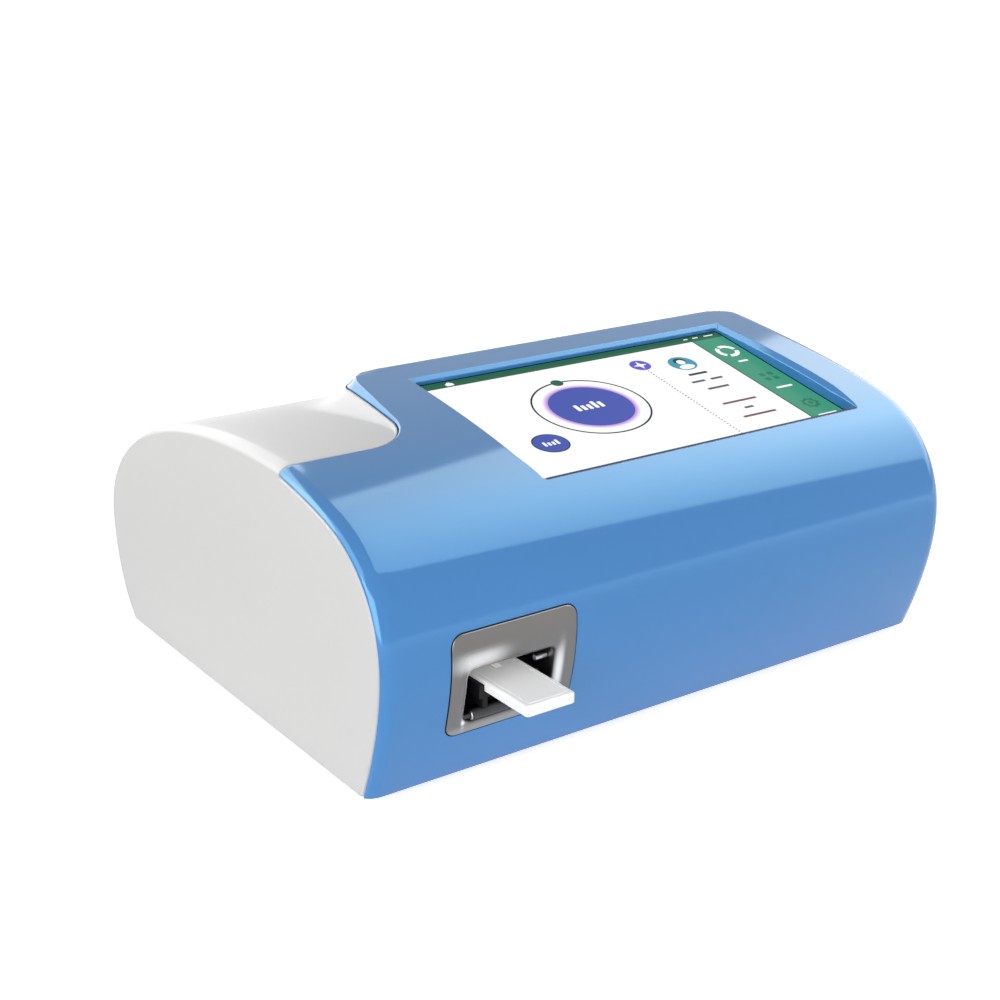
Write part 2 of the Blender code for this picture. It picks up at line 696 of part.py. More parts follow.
def offset(points, inset):
    """Move an open outline inwards by a distance; it starts and ends on the level of its first point."""
    step = np.diff(points, axis=0)
    normal = np.stack([step[:, 1], -step[:, 0]], axis=1)
    normal /= np.linalg.norm(normal, axis=1, keepdims=True)
    before = np.vstack([normal[:1], normal])
    after = np.vstack([normal, normal[-1:]])
    mitre = (before + after) / (1 + np.sum(before * after, axis=1, keepdims=True))
    made = points + mitre * inset
    for end, run in ((0, step[0]), (-1, step[-1])):
        made[end] += run * (points[end][1] - made[end][1]) / run[1]
    return made


def skin_height(depth):
    """Height of the blue skin over the front and the raised housing at a depth."""
    if depth > SHOULDER_DEPTH:
        return float(np.interp(depth, HIGH[:, 0], HIGH[:, 1]))
    crest = FRONT[FRONT[:, 1] >= BULGE_HEIGHT]
    return float(np.interp(depth, crest[:, 0], crest[:, 1]))


def housing_edge(depth):
    """Where the raised housing's left side stands at a depth."""
    held = np.clip(depth, SEAM_DEPTH + SEAM_RADIUS, HOUSING_REAR_DEPTH)
    return HOUSING_LEFT + HOUSING_LEAN * (held - SEAM_DEPTH - SEAM_RADIUS)


def inside_housing(x, depth):
    """Distance from the raised housing's outline, seen from above, positive inside."""
    lean = math.hypot(1, HOUSING_LEAN)
    left = (x - housing_edge(depth)) / lean
    rear = HOUSING_REAR_DEPTH - depth
    right = WIDTH + HOUSING_OVERHANG - x

    def corner(a, b, radius):
        """Distance from two sides that meet in a round corner."""
        if a < radius and b < radius:
            return radius - math.hypot(radius - a, radius - b)
        return min(a, b)

    return min(corner(left, rear, HOUSING_CORNER), corner(right, rear, HOUSING_FAR_CORNER))


def scoop(distance):
    """Share of the rise reached at a distance from the seam, in rises: a hollow arc, then a slope of 45 degrees."""
    radius = SEAM_RISE_SHARE / (1 - math.cos(math.pi / 4))
    run = radius * math.sin(math.pi / 4)
    if distance <= -run:
        return 0.0
    if distance < 0:
        return radius - math.sqrt(radius ** 2 - (distance + run) ** 2)
    return min(1.0, SEAM_RISE_SHARE + distance)


SCOOP_RUN = SEAM_RISE_SHARE / math.tan(math.pi / 8)
BAND_RUN = 1 - SEAM_RISE_SHARE


def lifted(x, depth, height, inset):
    """Height of the skin at a place once the raised housing is added to the low outline."""
    if depth <= SHOULDER_DEPTH or height < BULGE_HEIGHT:
        return height
    rise = float(np.interp(depth, HIGH[:, 0], HIGH[:, 1])) - inset - height
    if rise <= 0:
        return height
    return height + rise * scoop(inside_housing(x, depth) / rise)


def row_places(inset):
    """Rows of the loft: each is a function that gives x at a depth and height, and the row's own inset."""
    rows = []
    if inset < END_INSET / 2:
        for angle in END_ANGLES:
            turn = math.radians(angle)
            step = END_WIDTH * (1 - math.sin(turn))
            rows.append((lambda d, h, step=step: step, END_INSET * (1 - math.cos(turn))))
    else:
        rows.append((lambda d, h: inset, 0.0))

    def rise_at(depth, height):
        """Rise that spaces the rows, kept between two limits."""
        rise = float(np.interp(depth, HIGH[:, 0], HIGH[:, 1])) - height
        return min(max(rise, ROW_RISE_LOW), ROW_RISE_HIGH)

    first = (HOUSING_LEFT - SCOOP_RUN * ROW_RISE_HIGH) / 2
    rows.append((lambda d, h: first, 0.0))
    for share in SCOOP_ROW_SHARES:
        rows.append((lambda d, h, s=share: housing_edge(d) + s * SCOOP_RUN * rise_at(d, h), 0.0))
    edge = BAND_ROW_SHARE * BAND_RUN
    rows.append((lambda d, h: housing_edge(d) + edge * rise_at(d, h), 0.0))
    start = HOUSING_LEFT + 2 * ROW_RISE_HIGH * BAND_RUN
    corner = WIDTH - HOUSING_FAR_CORNER
    for share in PLAIN_ROW_SHARES:
        rows.append((lambda d, h, s=share: start + s * (corner - start), 0.0))
    for share in FAR_ROW_SHARES:
        rows.append((lambda d, h, s=share: WIDTH - END_WIDTH + s * (HOUSING_FAR_CORNER - END_WIDTH), 0.0))
    if inset < END_INSET / 2:
        for angle in reversed(END_ANGLES):
            turn = math.radians(angle)
            step = END_WIDTH * (1 - math.sin(turn))
            rows.append((lambda d, h, step=step: WIDTH - step, END_INSET * (1 - math.cos(turn))))
    else:
        rows.append((lambda d, h: WIDTH - inset, 0.0))
    return rows


def body_solid(inset, name, drop=0.0):
    """The housing as one solid, lofted from row to row, moved inwards by inset.

    A drop lengthens it downwards and leaves out every second row and station, for the hollow inside.
    """
    bm = bmesh.new()
    rows = []
    places = row_places(inset)
    profile = PROFILE
    if drop:
        places = places[:-1:2] + places[-1:]
        profile = np.vstack([PROFILE[:-1:2], PROFILE[-1:]])
    for place, end_inset in places:
        outline = offset(profile, inset + end_inset)
        row = []
        if drop:
            row.append(bm.verts.new((place(outline[0][0], 0), outline[0][0], -drop)))
        for depth, height in outline:
            x = place(depth, height)
            row.append(bm.verts.new((x, depth, lifted(x, depth, height, inset + end_inset))))
        if drop:
            row.append(bm.verts.new((place(outline[-1][0], 0), outline[-1][0], -drop)))
        rows.append(row)
    for here, there in zip(rows[:-1], rows[1:]):
        for i in range(len(here)):
            j = (i + 1) % len(here)
            bm.faces.new((here[i], here[j], there[j], there[i]))
    bm.faces.new(rows[0])
    bm.faces.new(rows[-1])
    return tool(mesh_from(bm, name), name)


def cover_zone(grow, name):
    """The region of the blue cover, seen from above: full width in front, the raised housing behind."""
    left = housing_edge(SEAM_DEPTH) - grow
    seam = SEAM_DEPTH + grow
    radius = SEAM_RADIUS
    outline = [(-OVERRUN, -FRONT_BULGE - OVERRUN), (-OVERRUN, seam)]
    outline += [(x, y) for x, y in arc((left - radius, seam + radius), radius, -90, 0, ZONE_STEPS)]
    rear = HOUSING_REAR_DEPTH + grow
    inner = HOUSING_CORNER + grow
    top = housing_edge(rear - inner) - grow
    outline += arc((top + inner, rear - inner), inner, 180, 90, CORNER_STEPS)
    far = WIDTH + HOUSING_OVERHANG + grow
    round_far = HOUSING_FAR_CORNER + grow
    outline += arc((far - round_far, rear - round_far), round_far, 90, 0, CORNER_STEPS)
    outline += [(WIDTH + OVERRUN, rear - round_far), (WIDTH + OVERRUN, -FRONT_BULGE - OVERRUN)]
    return slab(outline, -OVERRUN, RIDGE_HEIGHT + OVERRUN, "XY", name)


def end_plug(x, low, high, inset, name):
    """The zone of a side panel: the housing's outline at one end, moved inwards."""
    outline = offset(PROFILE, inset)
    points = [(float(outline[0][0]), -OVERRUN)]
    points += [(float(d), float(lifted(x, d, h, inset))) for d, h in outline]
    points += [(float(outline[-1][0]), -OVERRUN)]
    return slab(points, low, high, "YZ", name)


def shell_solid():
    """Outer solid less the inner one: the housing's wall all round, open at the bottom."""
    shell = body_solid(0.0, "housing_skin")
    return cut(shell, body_solid(WALL, "housing_hollow", OVERRUN))


SHELL = shell_solid()


def plate(left, right, near, far, low, high, radius, edge, name):
    """A flat plate with round corners and a small slope round its upper edge."""
    def ring(inset, level):
        outline = rounded(left + inset, right - inset, near + inset, far - inset, radius - inset / 2, 3)
        return [(x, y, level) for x, y in outline]

    return loft([ring(0, low), ring(0, high - edge), ring(edge, high)], name)


WINDOW_FRONT_HEIGHT = skin_height(WINDOW_FRONT_DEPTH) - FRONT_RECESS
WINDOW_REAR_HEIGHT = skin_height(WINDOW_REAR_DEPTH) - REAR_RECESS
DISPLAY_TILT = math.atan2(WINDOW_REAR_HEIGHT - WINDOW_FRONT_HEIGHT, WINDOW_REAR_DEPTH - WINDOW_FRONT_DEPTH)
WINDOW_LENGTH = (WINDOW_REAR_DEPTH - WINDOW_FRONT_DEPTH) / math.cos(DISPLAY_TILT)
DISPLAY_CENTRE = (WINDOW_LEFT + WINDOW_WIDTH / 2, (WINDOW_FRONT_DEPTH + WINDOW_REAR_DEPTH) / 2,
                  (WINDOW_FRONT_HEIGHT + WINDOW_REAR_HEIGHT) / 2)
DISPLAY_FRAME = Matrix.Translation(DISPLAY_CENTRE) @ Matrix.Rotation(DISPLAY_TILT, 4, "X")
BRACKET_LENGTH = WINDOW_LENGTH + 2 * BRACKET_BORDER
DISPLAY_BOSS_PLACE = (WINDOW_WIDTH / 2 + DISPLAY_BOSS_GAP, DISPLAY_BOSS_SHARE * WINDOW_LENGTH)


def on_display(thing):
    """Move a solid from the display's own axes (across, along, out of the glass) into the housing's."""
    return moved(thing, DISPLAY_FRAME)


# Levels below the glass, along the display's own axis
MODULE_TOP = -GLASS_THICKNESS - SEAT_GAP
MODULE_BOTTOM = MODULE_TOP - MODULE_THICKNESS
BRACKET_TOP = MODULE_BOTTOM - SEAT_GAP
BRACKET_BOTTOM = BRACKET_TOP - BRACKET_THICKNESS


def window_prism(grow, low, high, name):
    """The display window's outline, grown all round, between two levels of the display's own axis."""
    half_width = WINDOW_WIDTH / 2 + grow
    half_length = WINDOW_LENGTH / 2 + grow
    outline = rounded(-half_width, half_width, -half_length, half_length, WINDOW_CORNER + max(grow, 0), 3)
    return on_display(slab(outline, low, high, "XY", name))


def recess_slope():
    """The 45 degree slope round the recess: it follows the skin and fades out towards the front.

    It starts inside the window, so that no face of it lies on the window's own sides.
    """
    half_width = WINDOW_WIDTH / 2 - SLOPE_OVERRUN
    centre = DISPLAY_CENTRE[0]
    near = WINDOW_FRONT_DEPTH
    far = WINDOW_REAR_DEPTH - RECESS_CHAMFER / 2
    above = WALL
    rings = []
    for depth in np.linspace(near, far, RECESS_STATIONS):
        fade = min(1.0, (depth - near) / CHAMFER_FADE)
        chamfer = RECESS_FRONT_CHAMFER + (RECESS_CHAMFER - RECESS_FRONT_CHAMFER) * fade
        skin = skin_height(depth)
        low = skin - chamfer - SLOPE_OVERRUN
        high = skin + above
        reach = WINDOW_WIDTH / 2 + chamfer + above
        rings.append([(centre - half_width, depth, low), (centre + half_width, depth, low),
                      (centre + reach, depth, high), (centre - reach, depth, high)])
    run = RECESS_CHAMFER + above
    skin = skin_height(far + run)
    reach = WINDOW_WIDTH / 2 + run
    rings.append([(centre - reach, far + run, skin + above - THIN_EDGE),
                  (centre + reach, far + run, skin + above - THIN_EDGE),
                  (centre + reach, far + run, skin + above), (centre - reach, far + run, skin + above)])
    return loft(rings, "recess_slope")


def front_depth(height):
    """Depth of the front skin at a height."""
    return float(np.interp(height, FRONT[:, 1], FRONT[:, 0]))


def mouth_outline(grow, grow_up):
    """The card slot's outline, grown sideways and upwards."""
    half = MOUTH_WIDTH / 2 + grow
    return rounded(SLOT_CENTRE - half, SLOT_CENTRE + half, MOUTH_LOW - grow_up, MOUTH_HIGH + grow_up,
                   MOUTH_CORNER + min(grow, grow_up), 3)


def plate_prism(grow, near, far, name):
    """The slot plate's outline, grown all round, between two depths."""
    half = PLATE_WIDTH / 2 + grow
    outline = rounded(SLOT_CENTRE - half, SLOT_CENTRE + half, PLATE_LOW - grow, PLATE_HIGH + grow,
                      PLATE_CORNER + grow, 4)
    return slab(outline, near, far, "XZ", name)


def make_front_cover():
    """Blue cover: front, top and raised display housing, with the display recess and the slot's pocket."""
    cover = trim(copy_of(SHELL, "cover"), cover_zone(0.0, "cover_zone"))
    inset = END_INSET + SIDE_LAND
    reach = WALL + END_OVERRUN
    cut(cover, end_plug(0.0, -OVERRUN, reach, inset, "left_plug"),
        end_plug(WIDTH, WIDTH - reach, WIDTH + OVERRUN, inset, "right_plug"))
    across, along = DISPLAY_BOSS_PLACE
    places = [(side * across, end * along) for side in (-1, 1) for end in (-1, 1)]
    inner = [window_prism(WINDOW_WALL, SEAT_GAP, 3 * OVERRUN, "window_wall")]
    inner += [on_display(rod((x, y, BRACKET_TOP + SEAT_GAP), 3 * OVERRUN, DISPLAY_BOSS_RADIUS)) for x, y in places]
    join(cover, trim(gather(inner, "inner_walls"), body_solid(WALL / 2, "half_skin")))
    cut(cover, window_prism(0.0, -OVERRUN, 3 * OVERRUN, "window"), recess_slope())
    holes = [on_display(rod((x, y, BRACKET_TOP - OVERRUN), OVERRUN + DISPLAY_SCREW_LENGTH,
                            DISPLAY_SCREW_RADIUS + SEAT_GAP, sides=SCREW_SIDES)) for x, y in places]
    cut(cover, gather(holes, "display_screw_holes"))
    pocket = plate_prism(SEAT_GAP, -4 * OVERRUN, POCKET_OVERRUN, "pocket")
    cut(pocket, body_solid(PLATE_THICKNESS - PLATE_PROUD + SEAT_GAP, "pocket_floor"))
    hole_half = MOUTH_WALL + SEAT_GAP
    hole = slab(mouth_outline(hole_half, hole_half), -4 * OVERRUN, OVERRUN, "XZ", "mouth_hole")
    cut(cover, pocket, hole)
    return keep(cover, "front_cover", BLUE)


def make_slot_bezel():
    """Metal slot plate with its flared mouth and the short duct behind it."""
    bezel = body_solid(-PLATE_PROUD, "plate_skin")
    trim(bezel, plate_prism(0.0, -4 * OVERRUN, 0.0, "plate_cut"))
    cut(bezel, body_solid(PLATE_THICKNESS - PLATE_PROUD, "plate_back"))
    duct = slab(mouth_outline(MOUTH_WALL, MOUTH_WALL), -4 * OVERRUN, MOUTH_REAR, "XZ", "duct")
    trim(duct, body_solid(PLATE_PROUD, "duct_skin"))
    join(bezel, duct)
    rings = []
    for share in FUNNEL_SHARES:
        grow = FUNNEL_WIDTH * share
        below = FUNNEL_DEPTH * (1 - math.sqrt(1 - (1 - min(share, 1.0)) ** 2)) - PLATE_PROUD
        if share > 1:
            below = -PLATE_PROUD - FUNNEL_DEPTH
        ring = mouth_outline(grow, grow * FUNNEL_HEIGHT_SHARE)
        rings.append([(x, front_depth(z) + below, z) for x, z in ring])
    rings.append([(x, MOUTH_REAR + OVERRUN, z) for x, z in mouth_outline(0.0, 0.0)])
    cut(bezel, loft(rings, "mouth"))
    pin = ROLLER_PIN_RADIUS + RUNNING_GAP
    start = (SLOT_CENTRE - MOUTH_WIDTH / 2 - MOUTH_WALL / 2, ROLLER_DEPTH, ROLLER_HEIGHT)
    cut(bezel, rod(start, MOUTH_WIDTH + MOUTH_WALL, pin, "X", SMALL_SIDES, "roller_bearing"))
    return keep(bezel, "slot_bezel", SATIN)


def make_roller():
    """Support roller low in the mouth, with its two pins."""
    span = MOUTH_WIDTH + MOUTH_WALL - 4 * RUNNING_GAP
    roller = rod((SLOT_CENTRE - ROLLER_LENGTH / 2, ROLLER_DEPTH, ROLLER_HEIGHT), ROLLER_LENGTH, ROLLER_RADIUS, "X",
                 ROUND_SIDES, "roller")
    pin = rod((SLOT_CENTRE - span / 2, ROLLER_DEPTH, ROLLER_HEIGHT), span, ROLLER_PIN_RADIUS, "X", SMALL_SIDES)
    join(roller, pin)
    return place_origin(keep(roller, "slot_roller", BLACK), (SLOT_CENTRE, ROLLER_DEPTH, ROLLER_HEIGHT))


def place_origin(thing, point):
    """Put a piece's own origin on its joint's axis without moving the piece."""
    thing.data.transform(Matrix.Translation(-Vector(point)))
    thing.location = point
    return thing


def make_stud():
    """Small metal pin at the upper right of the mouth, against the duct's side."""
    right = SLOT_CENTRE + MOUTH_WIDTH / 2 - RUNNING_GAP
    height = CASSETTE_TOP + STUD_RADIUS + SEAT_GAP
    stud = rod((right - STUD_LENGTH, STUD_DEPTH, height), STUD_LENGTH, STUD_RADIUS, "X", SMALL_SIDES)
    return keep(stud, "slot_stud", STEEL)


def make_rear_casing():
    """White casing: side panels, low top and rear, with screw bosses, connector bay and vents."""
    zone = cover_zone(SEAT_GAP, "casing_zone")
    inset = END_INSET + SIDE_LAND + SEAT_GAP
    reach = WALL + END_OVERRUN
    cut(zone, end_plug(0.0, -2 * OVERRUN, reach, inset, "left_panel"),
        end_plug(WIDTH, WIDTH - reach, WIDTH + 2 * OVERRUN, inset, "right_panel"))
    casing = cut(copy_of(SHELL, "casing"), zone)
    low = BASE_UNDERSIDE + BASE_THICKNESS + SEAT_GAP
    bosses = []
    holes = []
    for x, y in BOSS_PLACES:
        side = WALL / 2 if x < WIDTH / 2 else WIDTH - WALL / 2
        web = box((min(x, side), y - RIB / 2, low + RIB), (max(x, side), y + RIB / 2, low + BOSS_HEIGHT - RIB), "web")
        bosses.append(join(rod((x, y, low), BOSS_HEIGHT, BOSS_RADIUS, sides=SMALL_SIDES, name="boss"), web))
        holes.append(rod((x, y, low - OVERRUN), OVERRUN + SCREW_SHANK_LENGTH, SCREW_SHANK_RADIUS + SEAT_GAP,
                         sides=SCREW_SIDES))
    bay = slab(rounded(BAY_LEFT - WALL, BAY_RIGHT + WALL, BAY_LOW - WALL, BAY_HIGH + WALL, BAY_CORNER + WALL),
               BAY_FLOOR - PANEL_THICKNESS - SEAT_GAP, REAR_BULGE_DEPTH + OVERRUN, "XZ", "bay_walls")
    bosses.append(trim(bay, body_solid(WALL / 2, "bay_limit")))
    join(casing, gather(bosses, "casing_inside"))
    for i in range(int((BAY_LEFT - REAR_VENT_GAP - REAR_VENT_LEFT) / VENT_PITCH)):
        x = REAR_VENT_LEFT + i * VENT_PITCH
        holes.append(box((x, BAY_FLOOR, BAY_LOW), (x + VENT_WIDTH, REAR_BULGE_DEPTH + OVERRUN, BAY_HIGH), "vent"))
    holes.append(slab(rounded(BAY_LEFT, BAY_RIGHT, BAY_LOW, BAY_HIGH, BAY_CORNER), BAY_FLOOR - OVERRUN,
                      REAR_BULGE_DEPTH + 2 * OVERRUN, "XZ", "bay"))
    cut(casing, gather(holes, "casing_holes"))
    return keep(casing, "rear_casing", WHITE)


def make_rear_panel():
    """Connector panel that closes the bay from inside, with one opening for each connector."""
    near = BAY_FLOOR - PANEL_THICKNESS
    panel = slab(rounded(BAY_LEFT + SEAT_GAP, BAY_RIGHT - SEAT_GAP, BAY_LOW + SEAT_GAP, BAY_HIGH - SEAT_GAP,
                         BAY_CORNER - SEAT_GAP), near, BAY_FLOOR, "XZ", "panel")
    holes = [slab(outline, near - WALL, BAY_FLOOR + WALL, "XZ", name) for name, outline in port_holes()]
    return keep(cut(panel, gather(holes, "port_holes")), "rear_panel", GREY)


def rectangle(centre, width, low, tall, grow):
    """An upright rectangle about a centre line, grown all round."""
    half = width / 2 + grow
    return [(centre - half, low - grow), (centre + half, low - grow), (centre + half, low + tall + grow),
            (centre - half, low + tall + grow)]


def serial_outline(width, tall, grow):
    """The serial port's outline: a rectangle that narrows downwards."""
    low = PORT_LOW + SERIAL_SHELL
    half = width / 2 + grow
    foot = half * SERIAL_TAPER_SHARE
    return [(SERIAL_CENTRE - foot, low - grow), (SERIAL_CENTRE + foot, low - grow),
            (SERIAL_CENTRE + half, low + tall + grow), (SERIAL_CENTRE - half, low + tall + grow)]


def port_holes():
    """The openings in the bay's floor, one for each connector."""
    holes = [("inlet_hole", rectangle(INLET_CENTRE, INLET_WIDTH, PORT_LOW, INLET_TALL, SEAT_GAP)),
             ("network_hole", rectangle(NETWORK_CENTRE, NETWORK_WIDTH, PORT_LOW, NETWORK_TALL, SEAT_GAP)),
             ("serial_hole", serial_outline(SERIAL_WIDTH, SERIAL_TALL, SEAT_GAP)),
             ("switch_hole", rectangle(SWITCH_CENTRE, SWITCH_WIDTH - SWITCH_RIM,
                                       SWITCH_HEIGHT - SWITCH_TALL / 2 + SWITCH_RIM / 2,
                                       SWITCH_TALL - SWITCH_RIM, SEAT_GAP))]
    holes += [("usb_hole", rectangle(x, USB_WIDTH, PORT_LOW, USB_TALL, SEAT_GAP)) for x in USB_CENTRES]
    return holes


def board_posts(left, right, near, far, inset):
    """Four places for posts under a rectangular board."""
    return [(left + inset, near + inset), (right - inset, near + inset), (left + inset, far - inset),
            (right - inset, far - inset)]


def make_base_plate():
    """Grey base plate with vents under the speaker, screw and foot holes, and posts for what stands on it."""
    low = BASE_UNDERSIDE
    high = low + BASE_THICKNESS
    base = slab(rounded(BASE_SIDE, WIDTH - BASE_SIDE, BASE_NEAR, BASE_FAR, BOSS_RADIUS), low, high, "XY", "base")
    posts = [(place, FRAME_FLOOR, BASE_POST_RADIUS)
             for place in board_posts(FRAME_LEFT, FRAME_RIGHT, FRAME_FRONT, FRAME_REAR, POST_INSET)]
    posts += [(place, BOARD_UNDERSIDE, BASE_POST_RADIUS)
              for place in board_posts(MAIN_BOARD_LEFT, MAIN_BOARD_RIGHT, MAIN_BOARD_FRONT, BOARD_REAR, POST_INSET)]
    posts += [(place, BOARD_UNDERSIDE, BASE_POST_RADIUS)
              for place in board_posts(POWER_BOARD_LEFT, POWER_BOARD_RIGHT, POWER_BOARD_FRONT, POWER_BOARD_REAR,
                                       POST_INSET)]
    foot = high - BASE_THICKNESS / 2
    join(base, gather([rod((x, y, foot), top - SEAT_GAP - foot, radius, sides=POST_SIDES, name="post")
                       for (x, y), top, radius in posts], "posts"))
    holes = [rod((x, y, low - OVERRUN), 2 * OVERRUN, SCREW_SHANK_RADIUS + SEAT_GAP, sides=SCREW_SIDES)
             for x, y in BOSS_PLACES]
    holes += [rod((x, y, low - OVERRUN), 2 * OVERRUN, FOOT_STEM_RADIUS + SEAT_GAP, sides=SMALL_SIDES)
              for x, y in FOOT_PLACES]
    for i in range(VENT_COUNT):
        x = SPEAKER_PLACE[0] + (i - (VENT_COUNT - 1) / 2) * VENT_PITCH
        outline = rounded(x - VENT_WIDTH / 2, x + VENT_WIDTH / 2, SPEAKER_PLACE[1] - VENT_LENGTH / 2,
                          SPEAKER_PLACE[1] + VENT_LENGTH / 2, VENT_WIDTH / 2 - RUNNING_GAP, 2)
        holes.append(slab(outline, low - OVERRUN, high + OVERRUN, "XY", "base_vent"))
    return keep(cut(base, gather(holes, "base_holes")), "base_plate", GREY)


def make_feet():
    """Four rubber feet with a barbed stem through the base plate."""
    top = BASE_UNDERSIDE + BASE_THICKNESS + SEAT_GAP
    flange = BASE_UNDERSIDE - SEAT_GAP
    barb = FOOT_STEM_RADIUS + FOOT_BARB
    profile = [(0, -FOOT_HEIGHT), (FOOT_RADIUS - FOOT_BARB, -FOOT_HEIGHT), (FOOT_RADIUS, -FOOT_HEIGHT + FOOT_BARB),
               (FOOT_RADIUS, flange), (FOOT_STEM_RADIUS, flange), (FOOT_STEM_RADIUS, top), (barb, top),
               (0, top + 2 * FOOT_BARB)]
    for i, (x, y) in enumerate(FOOT_PLACES):
        keep(turned(profile, (x, y, 0), sides=SMALL_SIDES, name="foot"), "foot_%d" % (i + 1), RUBBER)


def make_base_screws():
    """Four cross-head screws from below through the base plate into the casing's bosses."""
    top = BASE_UNDERSIDE - SEAT_GAP
    for i, (x, y) in enumerate(BOSS_PLACES):
        keep(cross_screw((x, y, top), SCREW_HEAD_RADIUS, SCREW_HEAD_HEIGHT, SCREW_SHANK_RADIUS,
                         SCREW_SHANK_LENGTH + BASE_THICKNESS), "base_screw_%d" % (i + 1), STEEL)


def cross_screw(place, head_radius, head_height, shank_radius, shank_length):
    """A screw pointing up: rounded head with a cross recess, and a plain shank."""
    edge = head_height / 3
    profile = [(0, -head_height), (head_radius - edge, -head_height), (head_radius, -head_height + edge),
               (head_radius, 0), (shank_radius, 0), (shank_radius, shank_length - shank_radius), (0, shank_length)]
    screw = turned(profile, (0, 0, 0), sides=SCREW_SIDES, name="screw")
    long_share, wide_share, deep_share = CROSS_SHARES
    arm = head_radius * long_share
    wide = head_radius * wide_share
    deep = head_height * deep_share
    cross = box((-arm, -wide, -head_height - deep), (arm, wide, -head_height + deep), "cross")
    top = -head_height + deep - CROSS_STEP
    join(cross, box((-wide, -arm, -head_height - deep - CROSS_STEP), (wide, arm, top), "cross_arm"))
    return moved(cut(screw, cross), Matrix.Translation(place))


def make_display():
    """Cover glass, panel module with its metal frame, bracket and the bracket's four screws."""
    half_width = WINDOW_WIDTH / 2 + GLASS_BORDER
    half_length = WINDOW_LENGTH / 2 + GLASS_BORDER
    glass = plate(-half_width, half_width, -half_length, half_length, -GLASS_THICKNESS, 0, GLASS_BORDER,
                  GLASS_EDGE, "glass")
    keep(on_display(glass), "display_glass", GLASS)
    half_width = WINDOW_WIDTH / 2 + MODULE_BORDER
    half_length = WINDOW_LENGTH / 2 + MODULE_BORDER
    module = box((-half_width, -half_length, MODULE_BOTTOM), (half_width, half_length, MODULE_TOP), "module")
    inner = box((-half_width + MODULE_FRAME, -half_length + MODULE_FRAME, MODULE_TOP - GLASS_EDGE),
                (half_width - MODULE_FRAME, half_length - MODULE_FRAME, OVERRUN), "module_face")
    keep(on_display(cut(module, inner)), "lcd_module", BLACK)
    half_width = BRACKET_WIDTH / 2
    half_length = BRACKET_LENGTH / 2
    bracket = plate(-half_width, half_width, -half_length, half_length, BRACKET_BOTTOM, BRACKET_TOP,
                    BRACKET_RIM / 4, GLASS_EDGE, "bracket")
    opening = rounded(BRACKET_RIM - half_width, half_width - BRACKET_RIM, BRACKET_RIM - half_length,
                      half_length - BRACKET_RIM, BRACKET_RIM / 4, 3)
    cut(bracket, slab(opening, BRACKET_BOTTOM - OVERRUN, OVERRUN, "XY", "bracket_opening"))
    across, along = DISPLAY_BOSS_PLACE
    places = [(side * across, end * along) for end in (-1, 1) for side in (-1, 1)]
    for x, y in places:
        cut(bracket, rod((x, y, BRACKET_BOTTOM - OVERRUN), 2 * OVERRUN, DISPLAY_SCREW_RADIUS + SEAT_GAP,
                         sides=SMALL_SIDES))
    keep(on_display(bracket), "display_bracket", STEEL)
    for i, (x, y) in enumerate(places):
        screw = cross_screw((x, y, BRACKET_BOTTOM - SEAT_GAP), DISPLAY_SCREW_HEAD, SCREW_HEAD_HEIGHT,
                            DISPLAY_SCREW_RADIUS, DISPLAY_SCREW_LENGTH + BRACKET_THICKNESS)
        keep(on_display(screw), "display_screw_%d" % (i + 1), STEEL)


def make_cassette():
    """Test cassette: lower shell with the strip's channel, the strip, and the upper shell with window and well."""
    left = SLOT_CENTRE - CASSETTE_WIDTH / 2
    right = SLOT_CENTRE + CASSETTE_WIDTH / 2
    near = CASSETTE_FRONT
    far = CASSETTE_FRONT + CASSETTE_LENGTH
    seam = CASSETTE_TOP - COVER_SHARE * CASSETTE_THICKNESS
    lower = plate(left, right, near, far, -seam + CASSETTE_SEAM / 2, -CASSETTE_BOTTOM, CASSETTE_CORNER,
                  CASSETTE_EDGE / 2, "lower")
    moved(lower, Matrix.Scale(-1, 4, (0, 0, 1)))
    lower.data.flip_normals()
    strip_near = near + (CASSETTE_LENGTH - STRIP_LENGTH) / 2
    strip_low = seam - 2 * STRIP_THICKNESS
    channel = box((SLOT_CENTRE - STRIP_WIDTH / 2 - SEAT_GAP, strip_near - SEAT_GAP, strip_low - SEAT_GAP / 2),
                  (SLOT_CENTRE + STRIP_WIDTH / 2 + SEAT_GAP, strip_near + STRIP_LENGTH + SEAT_GAP, CASSETTE_TOP),
                  "channel")
    keep(cut(lower, channel), "cassette_base", CARD)
    strip = box((SLOT_CENTRE - STRIP_WIDTH / 2, strip_near, strip_low),
                (SLOT_CENTRE + STRIP_WIDTH / 2, strip_near + STRIP_LENGTH, strip_low + STRIP_THICKNESS), "strip")
    keep(strip, "test_strip", PAPER)
    upper = plate(left, right, near, far, seam + CASSETTE_SEAM / 2, CASSETTE_TOP, CASSETTE_CORNER, CASSETTE_EDGE,
                  "upper")
    middle = near + STRIP_WINDOW_PLACE
    window = slab(rounded(SLOT_CENTRE - STRIP_WINDOW_WIDTH / 2, SLOT_CENTRE + STRIP_WINDOW_WIDTH / 2,
                          middle - STRIP_WINDOW_LENGTH / 2, middle + STRIP_WINDOW_LENGTH / 2,
                          STRIP_WINDOW_WIDTH / 3, 3), CASSETTE_BOTTOM, CASSETTE_TOP + OVERRUN, "XY", "strip_window")
    well = rod((SLOT_CENTRE, near + WELL_PLACE, seam - CASSETTE_SEAM), CASSETTE_THICKNESS,
               WELL_RADIUS * WELL_SHARES[0], sides=SMALL_SIDES, name="well", end_radius=WELL_RADIUS * WELL_SHARES[1])
    keep(cut(upper, window, well), "cassette_cover", CARD)


